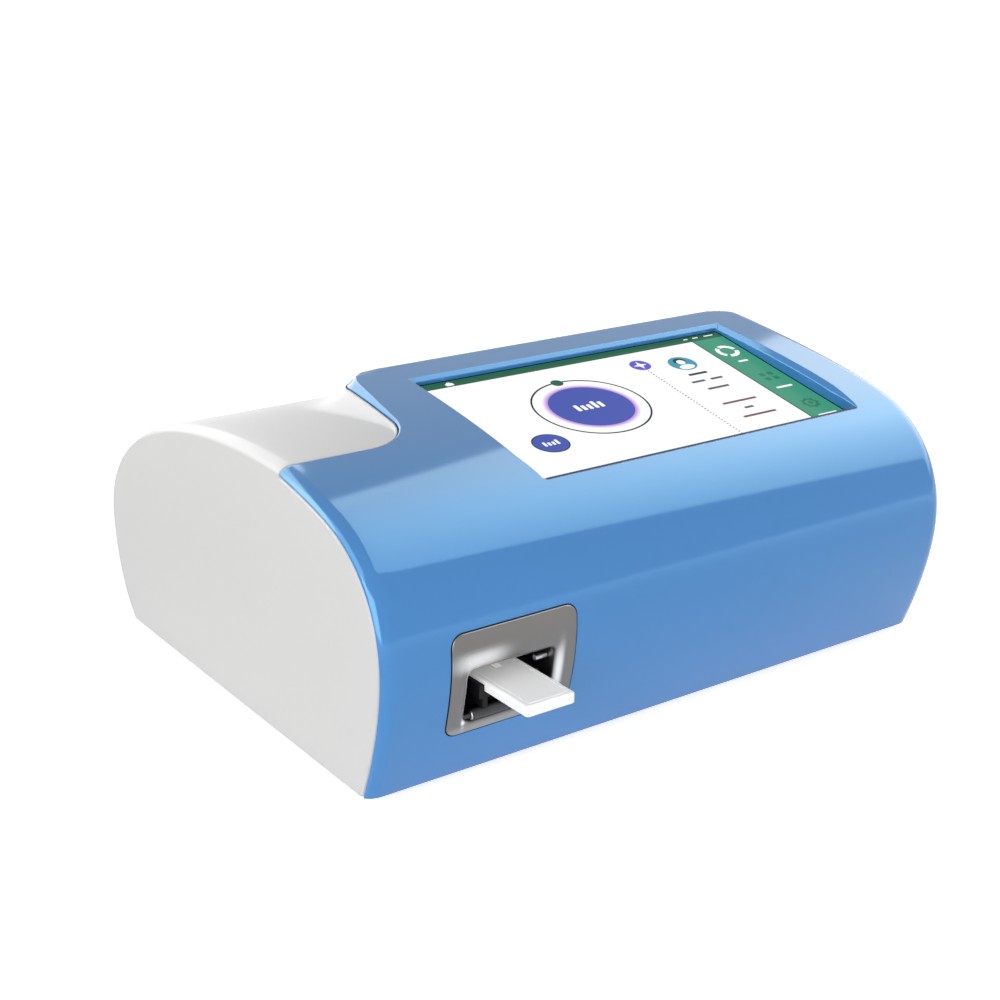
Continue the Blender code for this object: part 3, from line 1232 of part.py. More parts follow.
def make_tray():
    """Card tray: deck with rails and a rear stop, two skids, and a wing with rod bushings, nut lug and flag."""
    left = SLOT_CENTRE - TRAY_HALF
    right = SLOT_CENTRE + TRAY_HALF
    top = CASSETTE_TOP - TRAY_RAIL_DROP
    tray = box((left, TRAY_FRONT, TRAY_DECK - TRAY_FLOOR), (right, TRAY_REAR, top), "tray")
    bed = box((left + TRAY_RAIL, TRAY_FRONT - OVERRUN, TRAY_DECK), (right - TRAY_RAIL, TRAY_REAR - TRAY_RAIL,
                                                                    top + OVERRUN), "bed")
    cut(tray, bed)
    skid_low = ROLLER_HEIGHT + ROLLER_RADIUS + RUNNING_GAP
    for inner in (left + TRAY_SKID_INSET, right - TRAY_SKID_INSET - TRAY_SKID):
        join(tray, box((inner, TRAY_FRONT + RUNNING_GAP, skid_low),
                       (inner + TRAY_SKID, TRAY_REAR - RUNNING_GAP, TRAY_DECK - TRAY_FLOOR / 2), "skid"))
    half = ROD_SPREAD + BUSHING_RADIUS / 2
    wing = box((SLOT_CENTRE - half, WING_FRONT, WING_LOW),
               (SLOT_CENTRE + half, WING_FRONT + WING_LENGTH, WING_LOW + WING_THICKNESS + RUNNING_GAP), "wing")
    for side in (-1, 1):
        start = (SLOT_CENTRE + side * ROD_SPREAD, WING_FRONT - SEAT_GAP, ROD_HEIGHT)
        join(wing, rod(start, WING_LENGTH + 2 * SEAT_GAP, BUSHING_RADIUS, "Y", ROUND_SIDES, "bushing"))
    lug = box((SLOT_CENTRE - LUG_WIDTH / 2, LUG_NEAR, SCREW_HEIGHT - LUG_DROP),
              (SLOT_CENTRE + LUG_WIDTH / 2, LUG_NEAR + NUT_LENGTH - 2 * NUT_FLANGE_THICKNESS, WING_LOW + RIB), "lug")
    flag_x = SLOT_CENTRE - FLAG_OFFSET
    flag_far = WING_FRONT + WING_LENGTH - RUNNING_GAP
    flag = box((flag_x - FLAG_THICKNESS / 2, flag_far - FLAG_LENGTH, WING_LOW - FLAG_HEIGHT),
               (flag_x + FLAG_THICKNESS / 2, flag_far, WING_LOW + RIB), "flag")
    join(tray, join(wing, lug, flag))
    for side in (-1, 1):
        start = (SLOT_CENTRE + side * ROD_SPREAD, WING_FRONT - OVERRUN, ROD_HEIGHT)
        cut(tray, rod(start, WING_LENGTH + 2 * OVERRUN, ROD_RADIUS + SLIDE_GAP, "Y", ROUND_SIDES, "rod_bore"))
    start = (SLOT_CENTRE, LUG_NEAR - OVERRUN, SCREW_HEIGHT)
    cut(tray, rod(start, NUT_LENGTH + 2 * OVERRUN, NUT_RADIUS + RUNNING_GAP, "Y", ROUND_SIDES, "nut_bore"))
    return place_origin(keep(tray, "card_tray", BLACK), (SLOT_CENTRE, TRAY_FRONT, TRAY_DECK))


def make_drive():
    """Guide rods, lead screw, nut and motor."""
    for i, side in enumerate((-1, 1)):
        start = (SLOT_CENTRE + side * ROD_SPREAD, FRAME_FRONT + SEAT_GAP, ROD_HEIGHT)
        keep(rod(start, FRAME_LENGTH - 2 * SEAT_GAP, ROD_RADIUS, "Y", ROUND_SIDES), "guide_rod_%d" % (i + 1), STEEL)
    start = (SLOT_CENTRE, FRAME_FRONT + SEAT_GAP, SCREW_HEIGHT)
    screw = rod(start, FRAME_LENGTH + SCREW_IN_MOTOR, SCREW_RADIUS, "Y", ROUND_SIDES)
    place_origin(keep(screw, "lead_screw", STEEL), (SLOT_CENTRE, FRAME_FRONT, SCREW_HEIGHT))
    bore = SCREW_RADIUS + SLIDE_GAP
    nut = [(bore, 0), (NUT_FLANGE, 0), (NUT_FLANGE, NUT_FLANGE_THICKNESS), (NUT_RADIUS, NUT_FLANGE_THICKNESS),
           (NUT_RADIUS, NUT_LENGTH), (bore, NUT_LENGTH), (bore, 0)]
    start = (SLOT_CENTRE, LUG_NEAR - NUT_FLANGE_THICKNESS - RUNNING_GAP, SCREW_HEIGHT)
    keep(turned(nut, start, "Y", name="nut"), "drive_nut", BRASS)
    front = FRAME_REAR + SEAT_GAP
    motor = rod((SLOT_CENTRE, front, SCREW_HEIGHT), MOTOR_LENGTH, MOTOR_RADIUS, "Y", ROUND_SIDES, "motor")
    half = MOTOR_RADIUS + MOTOR_EAR
    ears = slab(rounded(SLOT_CENTRE - half, SLOT_CENTRE + half, SCREW_HEIGHT - MOTOR_EAR, SCREW_HEIGHT + MOTOR_EAR,
                        MOTOR_EAR - RUNNING_GAP, 4), front + RUNNING_GAP, front + MOTOR_FLANGE, "XZ", "ears")
    pilot = rod((SLOT_CENTRE, front - MOTOR_PILOT_LENGTH, SCREW_HEIGHT), 2 * MOTOR_PILOT_LENGTH, MOTOR_PILOT, "Y")
    join(motor, ears, pilot)
    start = (SLOT_CENTRE, front - OVERRUN, SCREW_HEIGHT)
    cut(motor, rod(start, OVERRUN + SCREW_IN_MOTOR + 2 * SEAT_GAP, SCREW_RADIUS + SLIDE_GAP, "Y", ROUND_SIDES))
    keep(motor, "drive_motor", SATIN)


def make_frame():
    """Reader frame: floor, front wall with rod ears, and rear wall that carries the rods and the motor."""
    frame = box((FRAME_LEFT, FRAME_FRONT, FRAME_FLOOR), (FRAME_RIGHT, FRAME_REAR, FRAME_TOP), "frame")
    reach = ROD_SPREAD + FRAME_EAR_WIDTH / 2
    near = box((SLOT_CENTRE - reach, FRAME_FRONT + RUNNING_GAP, FRAME_FLOOR + RUNNING_GAP),
               (SLOT_CENTRE + reach, FRAME_FRONT + FRAME_EAR, EAR_HEIGHT), "front_wall")
    gap = ROD_SPREAD - FRAME_EAR_WIDTH / 2
    cut(near, box((SLOT_CENTRE - gap, FRAME_FRONT - OVERRUN, FRAME_WALL_HEIGHT),
                  (SLOT_CENTRE + gap, FRAME_FRONT + OVERRUN, EAR_HEIGHT + OVERRUN), "tray_gap"))
    far = box((SLOT_CENTRE - reach, FRAME_REAR - FRAME_EAR, FRAME_FLOOR + RUNNING_GAP),
              (SLOT_CENTRE + reach, FRAME_REAR - RUNNING_GAP, FRAME_FLOOR + FRAME_REAR_HEIGHT), "rear_wall")
    join(frame, near, far)
    for x in (SLOT_CENTRE - ROD_SPREAD, SLOT_CENTRE + ROD_SPREAD):
        cut(frame, rod((x, FRAME_FRONT - OVERRUN, ROD_HEIGHT), FRAME_LENGTH + 2 * OVERRUN, ROD_RADIUS + RUNNING_GAP,
                       "Y", ROUND_SIDES, "rod_hole"))
    cut(frame, rod((SLOT_CENTRE, FRAME_FRONT - OVERRUN, SCREW_HEIGHT), 2 * OVERRUN, SCREW_RADIUS + SLIDE_GAP, "Y"))
    cut(frame, rod((SLOT_CENTRE, FRAME_REAR - OVERRUN, SCREW_HEIGHT), 2 * OVERRUN, MOTOR_PILOT + SEAT_GAP, "Y"))
    return keep(frame, "reader_frame", SATIN)


def make_bridge():
    """Sheet bridge over the tray that carries the optical head."""
    low = FRAME_TOP + SEAT_GAP
    outline = [(FRAME_LEFT, low), (FRAME_LEFT + BRIDGE_TAB, low), (FRAME_LEFT + BRIDGE_TAB, low + BRIDGE_SHEET),
               (FRAME_LEFT + BRIDGE_SHEET, low + BRIDGE_SHEET), (FRAME_LEFT + BRIDGE_SHEET, BRIDGE_TOP - BRIDGE_SHEET),
               (FRAME_RIGHT - BRIDGE_SHEET, BRIDGE_TOP - BRIDGE_SHEET), (FRAME_RIGHT - BRIDGE_SHEET, low + BRIDGE_SHEET),
               (FRAME_RIGHT - BRIDGE_TAB, low + BRIDGE_SHEET), (FRAME_RIGHT - BRIDGE_TAB, low), (FRAME_RIGHT, low),
               (FRAME_RIGHT, BRIDGE_TOP), (FRAME_LEFT, BRIDGE_TOP)]
    bridge = slab(outline, BRIDGE_NEAR, BRIDGE_NEAR + BRIDGE_LENGTH, "XZ", "bridge")
    cut(bridge, rod((SLOT_CENTRE, HEAD_DEPTH, BRIDGE_TOP - OVERRUN), 2 * OVERRUN, LENS_RADIUS, name="beam_hole"))
    return keep(bridge, "head_bridge", SATIN)


def make_head():
    """Optical head, its lens, and the detector board on top of the bridge."""
    top = BRIDGE_TOP - BRIDGE_SHEET - SEAT_GAP
    head = box((SLOT_CENTRE - HEAD_WIDTH / 2, HEAD_DEPTH - HEAD_LENGTH / 2, HEAD_LOW + HEAD_SNOUT),
               (SLOT_CENTRE + HEAD_WIDTH / 2, HEAD_DEPTH + HEAD_LENGTH / 2, top), "head", RIB / 2, 1)
    join(head, rod((SLOT_CENTRE, HEAD_DEPTH, HEAD_LOW), 2 * HEAD_SNOUT, HEAD_SNOUT_RADIUS, name="snout"))
    cut(head, rod((SLOT_CENTRE, HEAD_DEPTH, HEAD_LOW - OVERRUN), BRIDGE_TOP, BEAM_RADIUS, sides=SMALL_SIDES))
    lens_low = HEAD_LOW + HEAD_SNOUT / 2
    seat = LENS_THICKNESS + HEAD_SNOUT / 2 + 2 * RUNNING_GAP
    cut(head, rod((SLOT_CENTRE, HEAD_DEPTH, HEAD_LOW - OVERRUN), OVERRUN + seat, LENS_RADIUS + RUNNING_GAP))
    keep(head, "optical_head", BLACK)
    profile = [(0, 0), (LENS_RADIUS * LENS_SHARES[0], LENS_CROWN * LENS_SHARES[1]), (LENS_RADIUS, LENS_CROWN),
               (LENS_RADIUS, LENS_THICKNESS), (0, LENS_THICKNESS)]
    keep(turned(profile, (SLOT_CENTRE, HEAD_DEPTH, lens_low), name="lens"), "head_lens", LENS)
    low = BRIDGE_TOP + SEAT_GAP
    board = box((SLOT_CENTRE - HEAD_WIDTH / 2, HEAD_DEPTH - HEAD_LENGTH / 2, low),
                (SLOT_CENTRE + HEAD_WIDTH / 2, HEAD_DEPTH + HEAD_LENGTH / 2, low + BOARD_THICKNESS), "board")
    chip_low = low + BOARD_THICKNESS - RUNNING_GAP
    for across, along, wide, long, tall in DETECTOR_PARTS:
        x = SLOT_CENTRE + (across - 0.5) * HEAD_WIDTH
        y = HEAD_DEPTH + (along - 0.5) * HEAD_LENGTH
        join(board, box((x, y, chip_low), (x + wide, y + long, chip_low + tall), "chip"))
    keep(board, "detector_board", BOARD)


def make_position_sensor():
    """Fork sensor that the tray's flag enters when the tray is in."""
    x = SLOT_CENTRE - FLAG_OFFSET
    low = FRAME_TOP + SEAT_GAP
    sensor = box((x - SENSOR_WIDTH / 2, SENSOR_NEAR, low), (x + SENSOR_WIDTH / 2, SENSOR_NEAR + SENSOR_LENGTH,
                                                            low + SENSOR_HEIGHT - SEAT_GAP), "sensor")
    cut(sensor, box((x - SENSOR_SLOT / 2, SENSOR_NEAR - OVERRUN, low + SENSOR_BASE),
                    (x + SENSOR_SLOT / 2, SENSOR_NEAR + OVERRUN + SENSOR_LENGTH, low + 2 * SENSOR_HEIGHT), "slot"))
    keep(sensor, "position_sensor", BLACK)


def make_board(name, left, right, near, far, parts):
    """A circuit board with its larger components."""
    board = box((left, near, BOARD_UNDERSIDE), (right, far, BOARD_TOP), "board")
    low = BOARD_TOP - RUNNING_GAP
    for across, along, wide, long, tall in parts:
        x = left + across * (right - left)
        y = near + along * (far - near)
        join(board, box((x, y, low), (x + wide, y + long, low + tall), "component", RUNNING_GAP, 1))
    keep(board, name, BOARD)


def make_ports():
    """Rear connectors: power inlet, two small data ports, network port and serial port."""
    near = PORT_REAR - PORT_DEPTH
    inlet = box((INLET_CENTRE - INLET_WIDTH / 2, near, PORT_LOW),
                (INLET_CENTRE + INLET_WIDTH / 2, PORT_REAR, PORT_LOW + INLET_TALL), "inlet")
    bore = (INLET_CENTRE, near + PORT_DEPTH / 3, PORT_LOW + INLET_TALL / 2)
    cut(inlet, rod(bore, PORT_DEPTH, INLET_BORE, "Y", SMALL_SIDES))
    pin = (INLET_CENTRE, near + PORT_DEPTH / 6, PORT_LOW + INLET_TALL / 2)
    join(inlet, rod(pin, PORT_DEPTH * INLET_PIN_SHARE, INLET_PIN, "Y", SMALL_SIDES))
    keep(inlet, "power_inlet", BLACK)
    for i, x in enumerate(USB_CENTRES):
        port = slab(rectangle(x, USB_WIDTH, PORT_LOW, USB_TALL, 0), near, PORT_REAR, "XZ", "usb")
        cut(port, slab(rectangle(x, USB_WIDTH, PORT_LOW, USB_TALL, -USB_SHELL), near + 2 * USB_SHELL,
                       PORT_REAR + OVERRUN, "XZ", "usb_mouth"))
        tongue = slab(rectangle(x, USB_WIDTH, PORT_LOW + USB_TALL / 2, USB_TALL / 3, -USB_SHELL / 2), near + USB_SHELL,
                      PORT_REAR - PORT_REACH, "XZ", "tongue")
        trim(tongue, slab(rectangle(x, USB_WIDTH, PORT_LOW, USB_TALL, -3 * USB_SHELL), near, PORT_REAR, "XZ"))
        join(port, tongue)
        keep(port, "usb_port_%d" % (i + 1), STEEL)
    network = slab(rectangle(NETWORK_CENTRE, NETWORK_WIDTH, PORT_LOW, NETWORK_TALL, 0), near, PORT_REAR, "XZ", "net")
    low = PORT_LOW + (NETWORK_TALL - NETWORK_MOUTH_TALL) / 2
    cut(network, slab(rectangle(NETWORK_CENTRE, NETWORK_MOUTH_WIDTH, low, NETWORK_MOUTH_TALL, 0), near + USB_SHELL * 3,
                      PORT_REAR + OVERRUN, "XZ", "network_mouth"))
    latch = slab(rectangle(NETWORK_CENTRE, NETWORK_MOUTH_WIDTH / 3, low - NETWORK_MOUTH_TALL / 6,
                           NETWORK_MOUTH_TALL / 2, 0), near + USB_SHELL * 4, PORT_REAR + OVERRUN, "XZ", "latch")
    cut(network, latch)
    keep(network, "network_port", STEEL)
    serial = slab(serial_outline(SERIAL_WIDTH, SERIAL_TALL, 0), near, PORT_REAR, "XZ", "serial")
    cut(serial, slab(serial_outline(SERIAL_WIDTH, SERIAL_TALL, -SERIAL_SHELL), near + PORT_DEPTH / 2,
                     PORT_REAR + OVERRUN, "XZ", "serial_mouth"))
    middle = PORT_LOW + SERIAL_SHELL + SERIAL_TALL / 2
    for row, count in zip((1, -1), SERIAL_PINS):
        for i in range(count):
            x = SERIAL_CENTRE + (i - (count - 1) / 2) * SERIAL_PITCH
            start = (x, near + PORT_DEPTH / 3, middle + row * SERIAL_PITCH / 2)
            join(serial, rod(start, PORT_DEPTH * SERIAL_PIN_SHARE, SERIAL_PIN, "Y", PIN_SIDES))
    keep(serial, "serial_port", STEEL)


def make_switch():
    """Rocker switch in the bay: its housing, and the rocker on its cross axis."""
    flange_near = BAY_FLOOR + SEAT_GAP
    face = flange_near + SWITCH_FLANGE
    low = SWITCH_HEIGHT - SWITCH_TALL / 2
    housing = slab(rectangle(SWITCH_CENTRE, SWITCH_WIDTH, low, SWITCH_TALL, 0), flange_near, face, "XZ", "flange")
    rim = SWITCH_RIM / 2
    body = slab(rectangle(SWITCH_CENTRE, SWITCH_WIDTH, low, SWITCH_TALL, -rim), face - SWITCH_BODY,
                face - RUNNING_GAP, "XZ", "switch_body")
    join(housing, body)
    cut(housing, slab(rectangle(SWITCH_CENTRE, SWITCH_WIDTH, low, SWITCH_TALL, -SWITCH_RIM), face - ROCKER_WELL,
                      face + OVERRUN, "XZ", "rocker_well"))
    keep(housing, "switch_housing", BLACK)
    pivot = (SWITCH_CENTRE, face - ROCKER_PIVOT, SWITCH_HEIGHT)
    back = math.degrees(math.asin(ROCKER_BACK / ROCKER_RADIUS))
    crest = math.degrees(math.asin(ROCKER_CREST / ROCKER_RADIUS))
    outline = [(ROCKER_VALLEY, 0.0)]
    outline += arc((0, 0), ROCKER_RADIUS, 90 - crest, 90 + back, 4)
    outline += arc((0, 0), ROCKER_RADIUS, -90 - back, -90 + crest, 4)
    half = SWITCH_WIDTH / 2 - SWITCH_RIM - SEAT_GAP
    rocker = slab(outline, -half, half, "YZ", "rocker")
    moved(rocker, Matrix.Rotation(ROCKER_TILT, 4, "X"))
    rocker.location = pivot
    keep(rocker, "power_rocker", BLACK)


def make_speaker():
    """Round sounder over the base plate's vents."""
    low = BASE_UNDERSIDE + BASE_THICKNESS + SEAT_GAP
    speaker = rod((*SPEAKER_PLACE, low), SPEAKER_HEIGHT, SPEAKER_RADIUS, name="speaker")
    join(speaker, rod((*SPEAKER_PLACE, low + SPEAKER_HEIGHT / 2), SPEAKER_HEIGHT, SPEAKER_RADIUS / 2, name="magnet"))
    cut(speaker, rod((*SPEAKER_PLACE, low - OVERRUN), OVERRUN + SPEAKER_HEIGHT / 6,
                     SPEAKER_RADIUS * SPEAKER_CONE_SHARES[0], name="cone",
                     end_radius=SPEAKER_RADIUS * SPEAKER_CONE_SHARES[1]))
    keep(speaker, "speaker", BLACK)


def make_cable():
    """Flat cable from the display module down to the main board."""
    top = (DISPLAY_CENTRE[1] + CABLE_RUN, DISPLAY_CENTRE[2] - CABLE_DROP)
    foot = (CABLE_FOOT, BOARD_TOP + SEAT_GAP)
    path = bezier(top, (top[0], (top[1] + foot[1]) / 2), (foot[0], (top[1] + foot[1]) / 2), foot, CABLE_STEPS)
    side = offset(path, CABLE_THICKNESS)
    outline = [tuple(point) for point in path] + [tuple(point) for point in side[::-1]]
    cable = slab(outline, CABLE_CENTRE - CABLE_WIDTH / 2, CABLE_CENTRE + CABLE_WIDTH / 2, "YZ", "cable")
    keep(cable, "display_cable", RIBBON)


make_front_cover()
make_rear_casing()
make_rear_panel()
make_slot_bezel()
make_roller()
make_stud()
make_base_plate()
make_feet()
make_base_screws()
make_display()
make_cassette()
make_tray()
make_drive()
make_frame()
make_bridge()
make_head()
make_position_sensor()
make_board("main_board", MAIN_BOARD_LEFT, MAIN_BOARD_RIGHT, MAIN_BOARD_FRONT, BOARD_REAR, MAIN_PARTS)
make_board("power_board", POWER_BOARD_LEFT, POWER_BOARD_RIGHT, POWER_BOARD_FRONT, POWER_BOARD_REAR, POWER_PARTS)
make_ports()
make_switch()
make_speaker()
make_cable()

for cutter in list(CUTTERS.objects):
    bpy.data.objects.remove(cutter, do_unlink=True)
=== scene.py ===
"""Looks of the point-of-care analyzer: finely curved shells, slot plate, card, screen and every finish.

Everything is in metres. Shapes that follow the housing are worked out in its own measures, x from its left
side, depth from its front bottom edge and height from its bottom edge, and HOME carries them into the frame.
"""

import math

import bmesh
import bpy
import numpy as np
from mathutils import Matrix, Vector
from mathutils.bvhtree import BVHTree
from mathutils.interpolate import poly_3d_calc


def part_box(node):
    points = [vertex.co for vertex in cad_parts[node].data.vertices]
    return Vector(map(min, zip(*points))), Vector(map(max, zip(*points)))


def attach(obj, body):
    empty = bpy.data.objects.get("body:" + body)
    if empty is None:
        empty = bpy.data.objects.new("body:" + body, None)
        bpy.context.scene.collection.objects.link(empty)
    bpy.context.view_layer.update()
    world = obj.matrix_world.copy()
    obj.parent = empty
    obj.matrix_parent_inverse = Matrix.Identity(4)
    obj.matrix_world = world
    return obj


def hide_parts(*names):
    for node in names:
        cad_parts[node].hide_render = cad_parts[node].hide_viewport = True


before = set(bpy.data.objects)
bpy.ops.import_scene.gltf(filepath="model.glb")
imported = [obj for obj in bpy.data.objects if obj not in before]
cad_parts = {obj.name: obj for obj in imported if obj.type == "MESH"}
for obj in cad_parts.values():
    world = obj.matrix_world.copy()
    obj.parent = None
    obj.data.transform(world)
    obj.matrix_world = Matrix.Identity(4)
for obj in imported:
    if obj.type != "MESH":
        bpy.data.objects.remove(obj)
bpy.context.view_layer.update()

# Housing outline, seen from the side
WIDTH = 0.262
FRONT_BULGE = 0.0122
BULGE_HEIGHT = 0.049
BROW = (0.024, 0.0962)
SHOULDER = (0.0545, 0.1031)
RIDGE = (0.116, 0.1119)
REAR_BULGE = (0.206, 0.042)
REAR_FOOT_DEPTH = 0.192
BROW_SLOPE = 0.30
SHOULDER_SLOPE = 0.185
RIDGE_SLOPE = 0.11
LOW_TOP_SLOPE = 0.05
LOWER_HANDLE_SHARES = (0.43, 0.255, 0.67)
UPPER_HANDLE_SHARES = (0.51, 0.61)
BROW_HANDLE_SHARE = 0.33
HIGH_HANDLE_SHARE = 0.325
LOW_HANDLE_SHARES = (0.56, 0.65)
FOOT_HANDLE_SHARES = (0.45, 0.36, 0.12)
END_WIDTH = 0.0055
END_INSET = 0.0028
END_FLATNESS = 1.15
SIDE_LAND = 0.0003
SEAM_ROUND = 0.0009
SEAM_GAP = 0.0004

# Raised display housing, seen from above
SEAM_DEPTH = 0.0532
SEAM_RADIUS = 0.020
HOUSING_LEFT = 0.0568
HOUSING_LEAN = 0.09
HOUSING_REAR = 0.119
HOUSING_CORNER = 0.013
HOUSING_FAR_CORNER = 0.020
HOUSING_OVERHANG = 0.003
SEAM_RISE_SHARE = 0.73

# Display window
WINDOW_LEFT = 0.084
WINDOW_WIDTH = 0.155
WINDOW_DEPTHS = (0.0159, 0.1001)
WINDOW_SINKS = (0.0046, 0.0033)
WINDOW_CORNER = 0.0012
GLASS_GAP = 0.0003
RECESS_SLOPE = 0.0020
RECESS_FRONT_SLOPE = 0.0004
SLOPE_FADE = 0.014
SLOPE_TAIL = 0.00004
# Thin dark strip on the window's front wall: painted shade along the lip, partly a seal
SHADE_SEAL_WIDTH = 0.0009
SHADE_SEAL_SINK = 0.00005

# Card slot
SLOT_CENTRE = 0.0519
PLATE_WIDTH = 0.0512
PLATE_HEIGHTS = (0.0185, 0.0573)
PLATE_CORNER = 0.0045
PLATE_PROUD = 0.0004
PLATE_THICKNESS = 0.0015
PLATE_EDGE = 0.0005
MOUTH_WIDTH = 0.036
MOUTH_HEIGHTS = (0.0225, 0.0425)
MOUTH_CORNER = 0.003
MOUTH_REAR = 0.002
MOUTH_WALL = 0.0014
FUNNEL_WIDTH = 0.0045
FUNNEL_DEPTH = 0.0028
FUNNEL_HEIGHT_SHARE = 0.76
# Painted highlights on the slot plate: the colour laid in where light glints, how sharply a spot fades, and
# the spots
PAINTED_HIGHLIGHT_COLOUR = (0.78, 0.78, 0.785)
HIGHLIGHT_FALL = 3
PAINTED_HIGHLIGHTS = ((4.0, 24.0, 9.5, 3.0, 1.0), (37.6, 11.0, 1.2, 9.5, 0.9), (-0.9, 9.5, 0.5, 10.5, 1.0),
            (23.0, 20.3, 9.0, 0.3, 1.0), (-0.6, 0.3, 1.0, 0.8, 1.0), (18.0, -3.2, 40.0, 2.2, 0.2))
ROLLER_LENGTH = 0.0292
ROLLER_PLACE = (-0.0068, 0.0242)
CAP_WIDTH = 0.0007
CAP_PROFILE = ((0.0, 0.0007), (0.0, 0.0014), (0.25, 0.0016), (0.75, 0.0016), (1.0, 0.0014), (1.0, 0.0007))

# Test cassette's lid
CASSETTE_WIDTH = 0.020
CASSETTE_LENGTH = 0.070
CASSETTE_REACH = 0.0202
CASSETTE_LID = (0.03425, 0.036)
CASSETTE_CORNER = 0.0012
CASSETTE_EDGE = 0.0007
STRIP_WINDOW_PLACE = 0.0374
STRIP_WINDOW_WIDTH = 0.0034
STRIP_WINDOW_LENGTH = 0.014
WELL_PLACE = 0.058
WELL_RADII = (0.0017, 0.0033)
RIM_LINE_PLACE = 0.0016
RIM_LINE_WIDTH = 0.0005
RIM_LINE_DEPTH = 0.00015
RIM_LINE_SHAPE = ((0, 0), (0.25, 1), (0.75, 1), (1, 0))

# Rear connector bay and vents
BAY_SIDES = (0.096, 0.246)
BAY_HEIGHTS = (0.009, 0.046)
BAY_CORNER = 0.004
BAY_FLOOR = 0.1894
VENT_LEFT = 0.026
VENT_COUNT = 9
VENT_PITCH = 0.006
VENT_WIDTH = 0.0026

# Walls and overruns
WALL = 0.0024
OVERRUN = 0.010

# Steps of the fine surfaces
CURVE_STEPS = 24
FINE = 600
ARC_STEPS = 14
STATION_STEP = 0.0009
ROW_STEP_SHARE = 0.07
ROW_RISES = (0.004, 0.013)
CORNER_STEPS = 8
SCREEN_CORNER_STEPS = 4
SIDE_STEPS = 30
FACE_STEPS = 9
EDGE_STEPS = 7
FUNNEL_STEPS = 15
CAP_STEPS = 32
ELLIPSE_STEPS = 64
RING_STEP = 5
HOLLOW_STRIDE = 3
PLUG_TURNS = (0, 22.5, 45, 67.5, 90)
LEVEL_ROUNDS = 8

# Frame: where the housing's own measures start
CASING_LOW, CASING_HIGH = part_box("rear_casing")
HOME = Matrix.Translation((CASING_LOW.x, CASING_HIGH.y - REAR_BULGE[0], CASING_LOW.z))

# Screen, in millimetres across and along from the window's centre; a layer is how high a shape lies
MM = 0.001
LAYER = 0.00004
LAYER_THICKNESS = 0.9
SCREEN_BASE = (0.01, 0.01, 0.01)
SCREEN_IOR = 1.06
SCREEN_COLOURS = {
    "white": (1.0, 1.0, 1.0), "green": (0.045, 0.305, 0.19), "pine": (0.021, 0.127, 0.07),
    "indigo": (0.065, 0.098, 0.43), "violet": (0.12, 0.10, 0.62), "teal": (0.045, 0.305, 0.456),
    "grey": (0.10, 0.11, 0.13), "red": (0.21, 0.075, 0.085), "edge": (0.012, 0.04, 0.035),
    "moss": (0.025, 0.19, 0.11)}
SCREEN_BOXES = (
    ("white", 1, -7.9, -2.45, 135.4, 81.3, 0.0), ("green", 1, 68.8, -0.4, 17.0, 85.0, 0.0),
    ("edge", 2, 60.1, -0.4, 0.5, 85.0, 0.0), ("pine", 2, 0.0, 40.6, 154.6, 4.6, 0.0),
    ("white", 3, -63.1, 40.0, 3.6, 2.0, 0.6), ("white", 3, -63.1, 41.3, 1.6, 0.7, 0.2),
    ("white", 3, 58.4, 41.0, 2.2, 0.7, 0.2), ("white", 3, 63.8, 41.0, 3.0, 0.7, 0.2),
    ("white", 3, 71.2, 41.0, 5.0, 0.7, 0.2), ("white", 3, 68.9, 15.4, 5.2, 1.3, 0.4),
    ("white", 3, 68.9, -10.2, 8.5, 1.3, 0.4), ("white", 3, 68.9, -35.9, 10.0, 1.3, 0.4),
    ("moss", 3, 67.2, 1.8, 2.6, 2.6, 0.4), ("moss", 3, 71.6, 1.8, 2.6, 2.6, 0.4),
    ("moss", 3, 67.2, -2.4, 2.6, 2.6, 0.4), ("moss", 3, 71.6, -2.4, 2.6, 2.6, 0.4),
    ("edge", 3, 41.2, 12.5, 9.8, 1.6, 0.3), ("grey", 2, 36.5, 6.5, 7.0, 1.5, 0.3),
    ("grey", 2, 46.2, 6.5, 6.4, 1.5, 0.3), ("grey", 2, 41.2, -0.6, 11.2, 1.5, 0.3),
    ("red", 2, 41.1, -13.5, 17.8, 1.4, 0.3), ("grey", 2, 41.1, -19.3, 4.7, 1.4, 0.3),
    ("red", 2, 41.4, -25.5, 17.2, 1.4, 0.3))
SCREEN_DISCS = (
    ("indigo", 3, -20.25, 4.4, 17.8, 15.9), ("pine", 3, -21.25, 26.0, 2.7, 2.5),
    ("edge", 2, -54.0, -14.9, 7.6, 7.0), ("indigo", 3, -54.0, -14.9, 7.1, 6.5),
    ("violet", 2, 22.5, 27.4, 4.7, 4.4), ("teal", 2, 41.25, 22.5, 6.4, 6.0),
    ("edge", 3, 41.25, 24.6, 2.9, 2.5), ("white", 4, 41.25, 23.6, 2.0, 1.9),
    ("white", 3, 41.25, 19.3, 3.8, 2.0), ("green", 3, 68.75, -25.9, 2.3, 2.2),
    ("moss", 4, 68.75, -25.9, 1.2, 1.1))
SCREEN_RINGS = (
    ("edge", 2, -20.25, 4.4, 24.4, 22.0, 0.8, 0, 360), ("white", 3, 68.75, 25.4, 4.4, 4.2, 2.0, 10, 110),
    ("white", 3, 68.75, 25.4, 4.4, 4.2, 2.0, 130, 230), ("white", 3, 68.75, 25.4, 4.4, 4.2, 2.0, 250, 350))
SCREEN_STARS = (("white", 3, 22.5, 27.4, 3.4, 4, 0.34), ("moss", 2, 68.75, -25.9, 4.4, 8, 0.76))
SCREEN_BARS = (("white", 4, -21.25, 5.0, 14.0, 5.4, 5), ("white", 4, -54.0, -14.9, 7.6, 3.4, 4))
BAR_HEIGHTS = (0.9, 0.7, 0.7, 1.0, 0.8)
BAR_WIDTH_SHARE = 0.62
BAR_CORNER_SHARE = 0.18
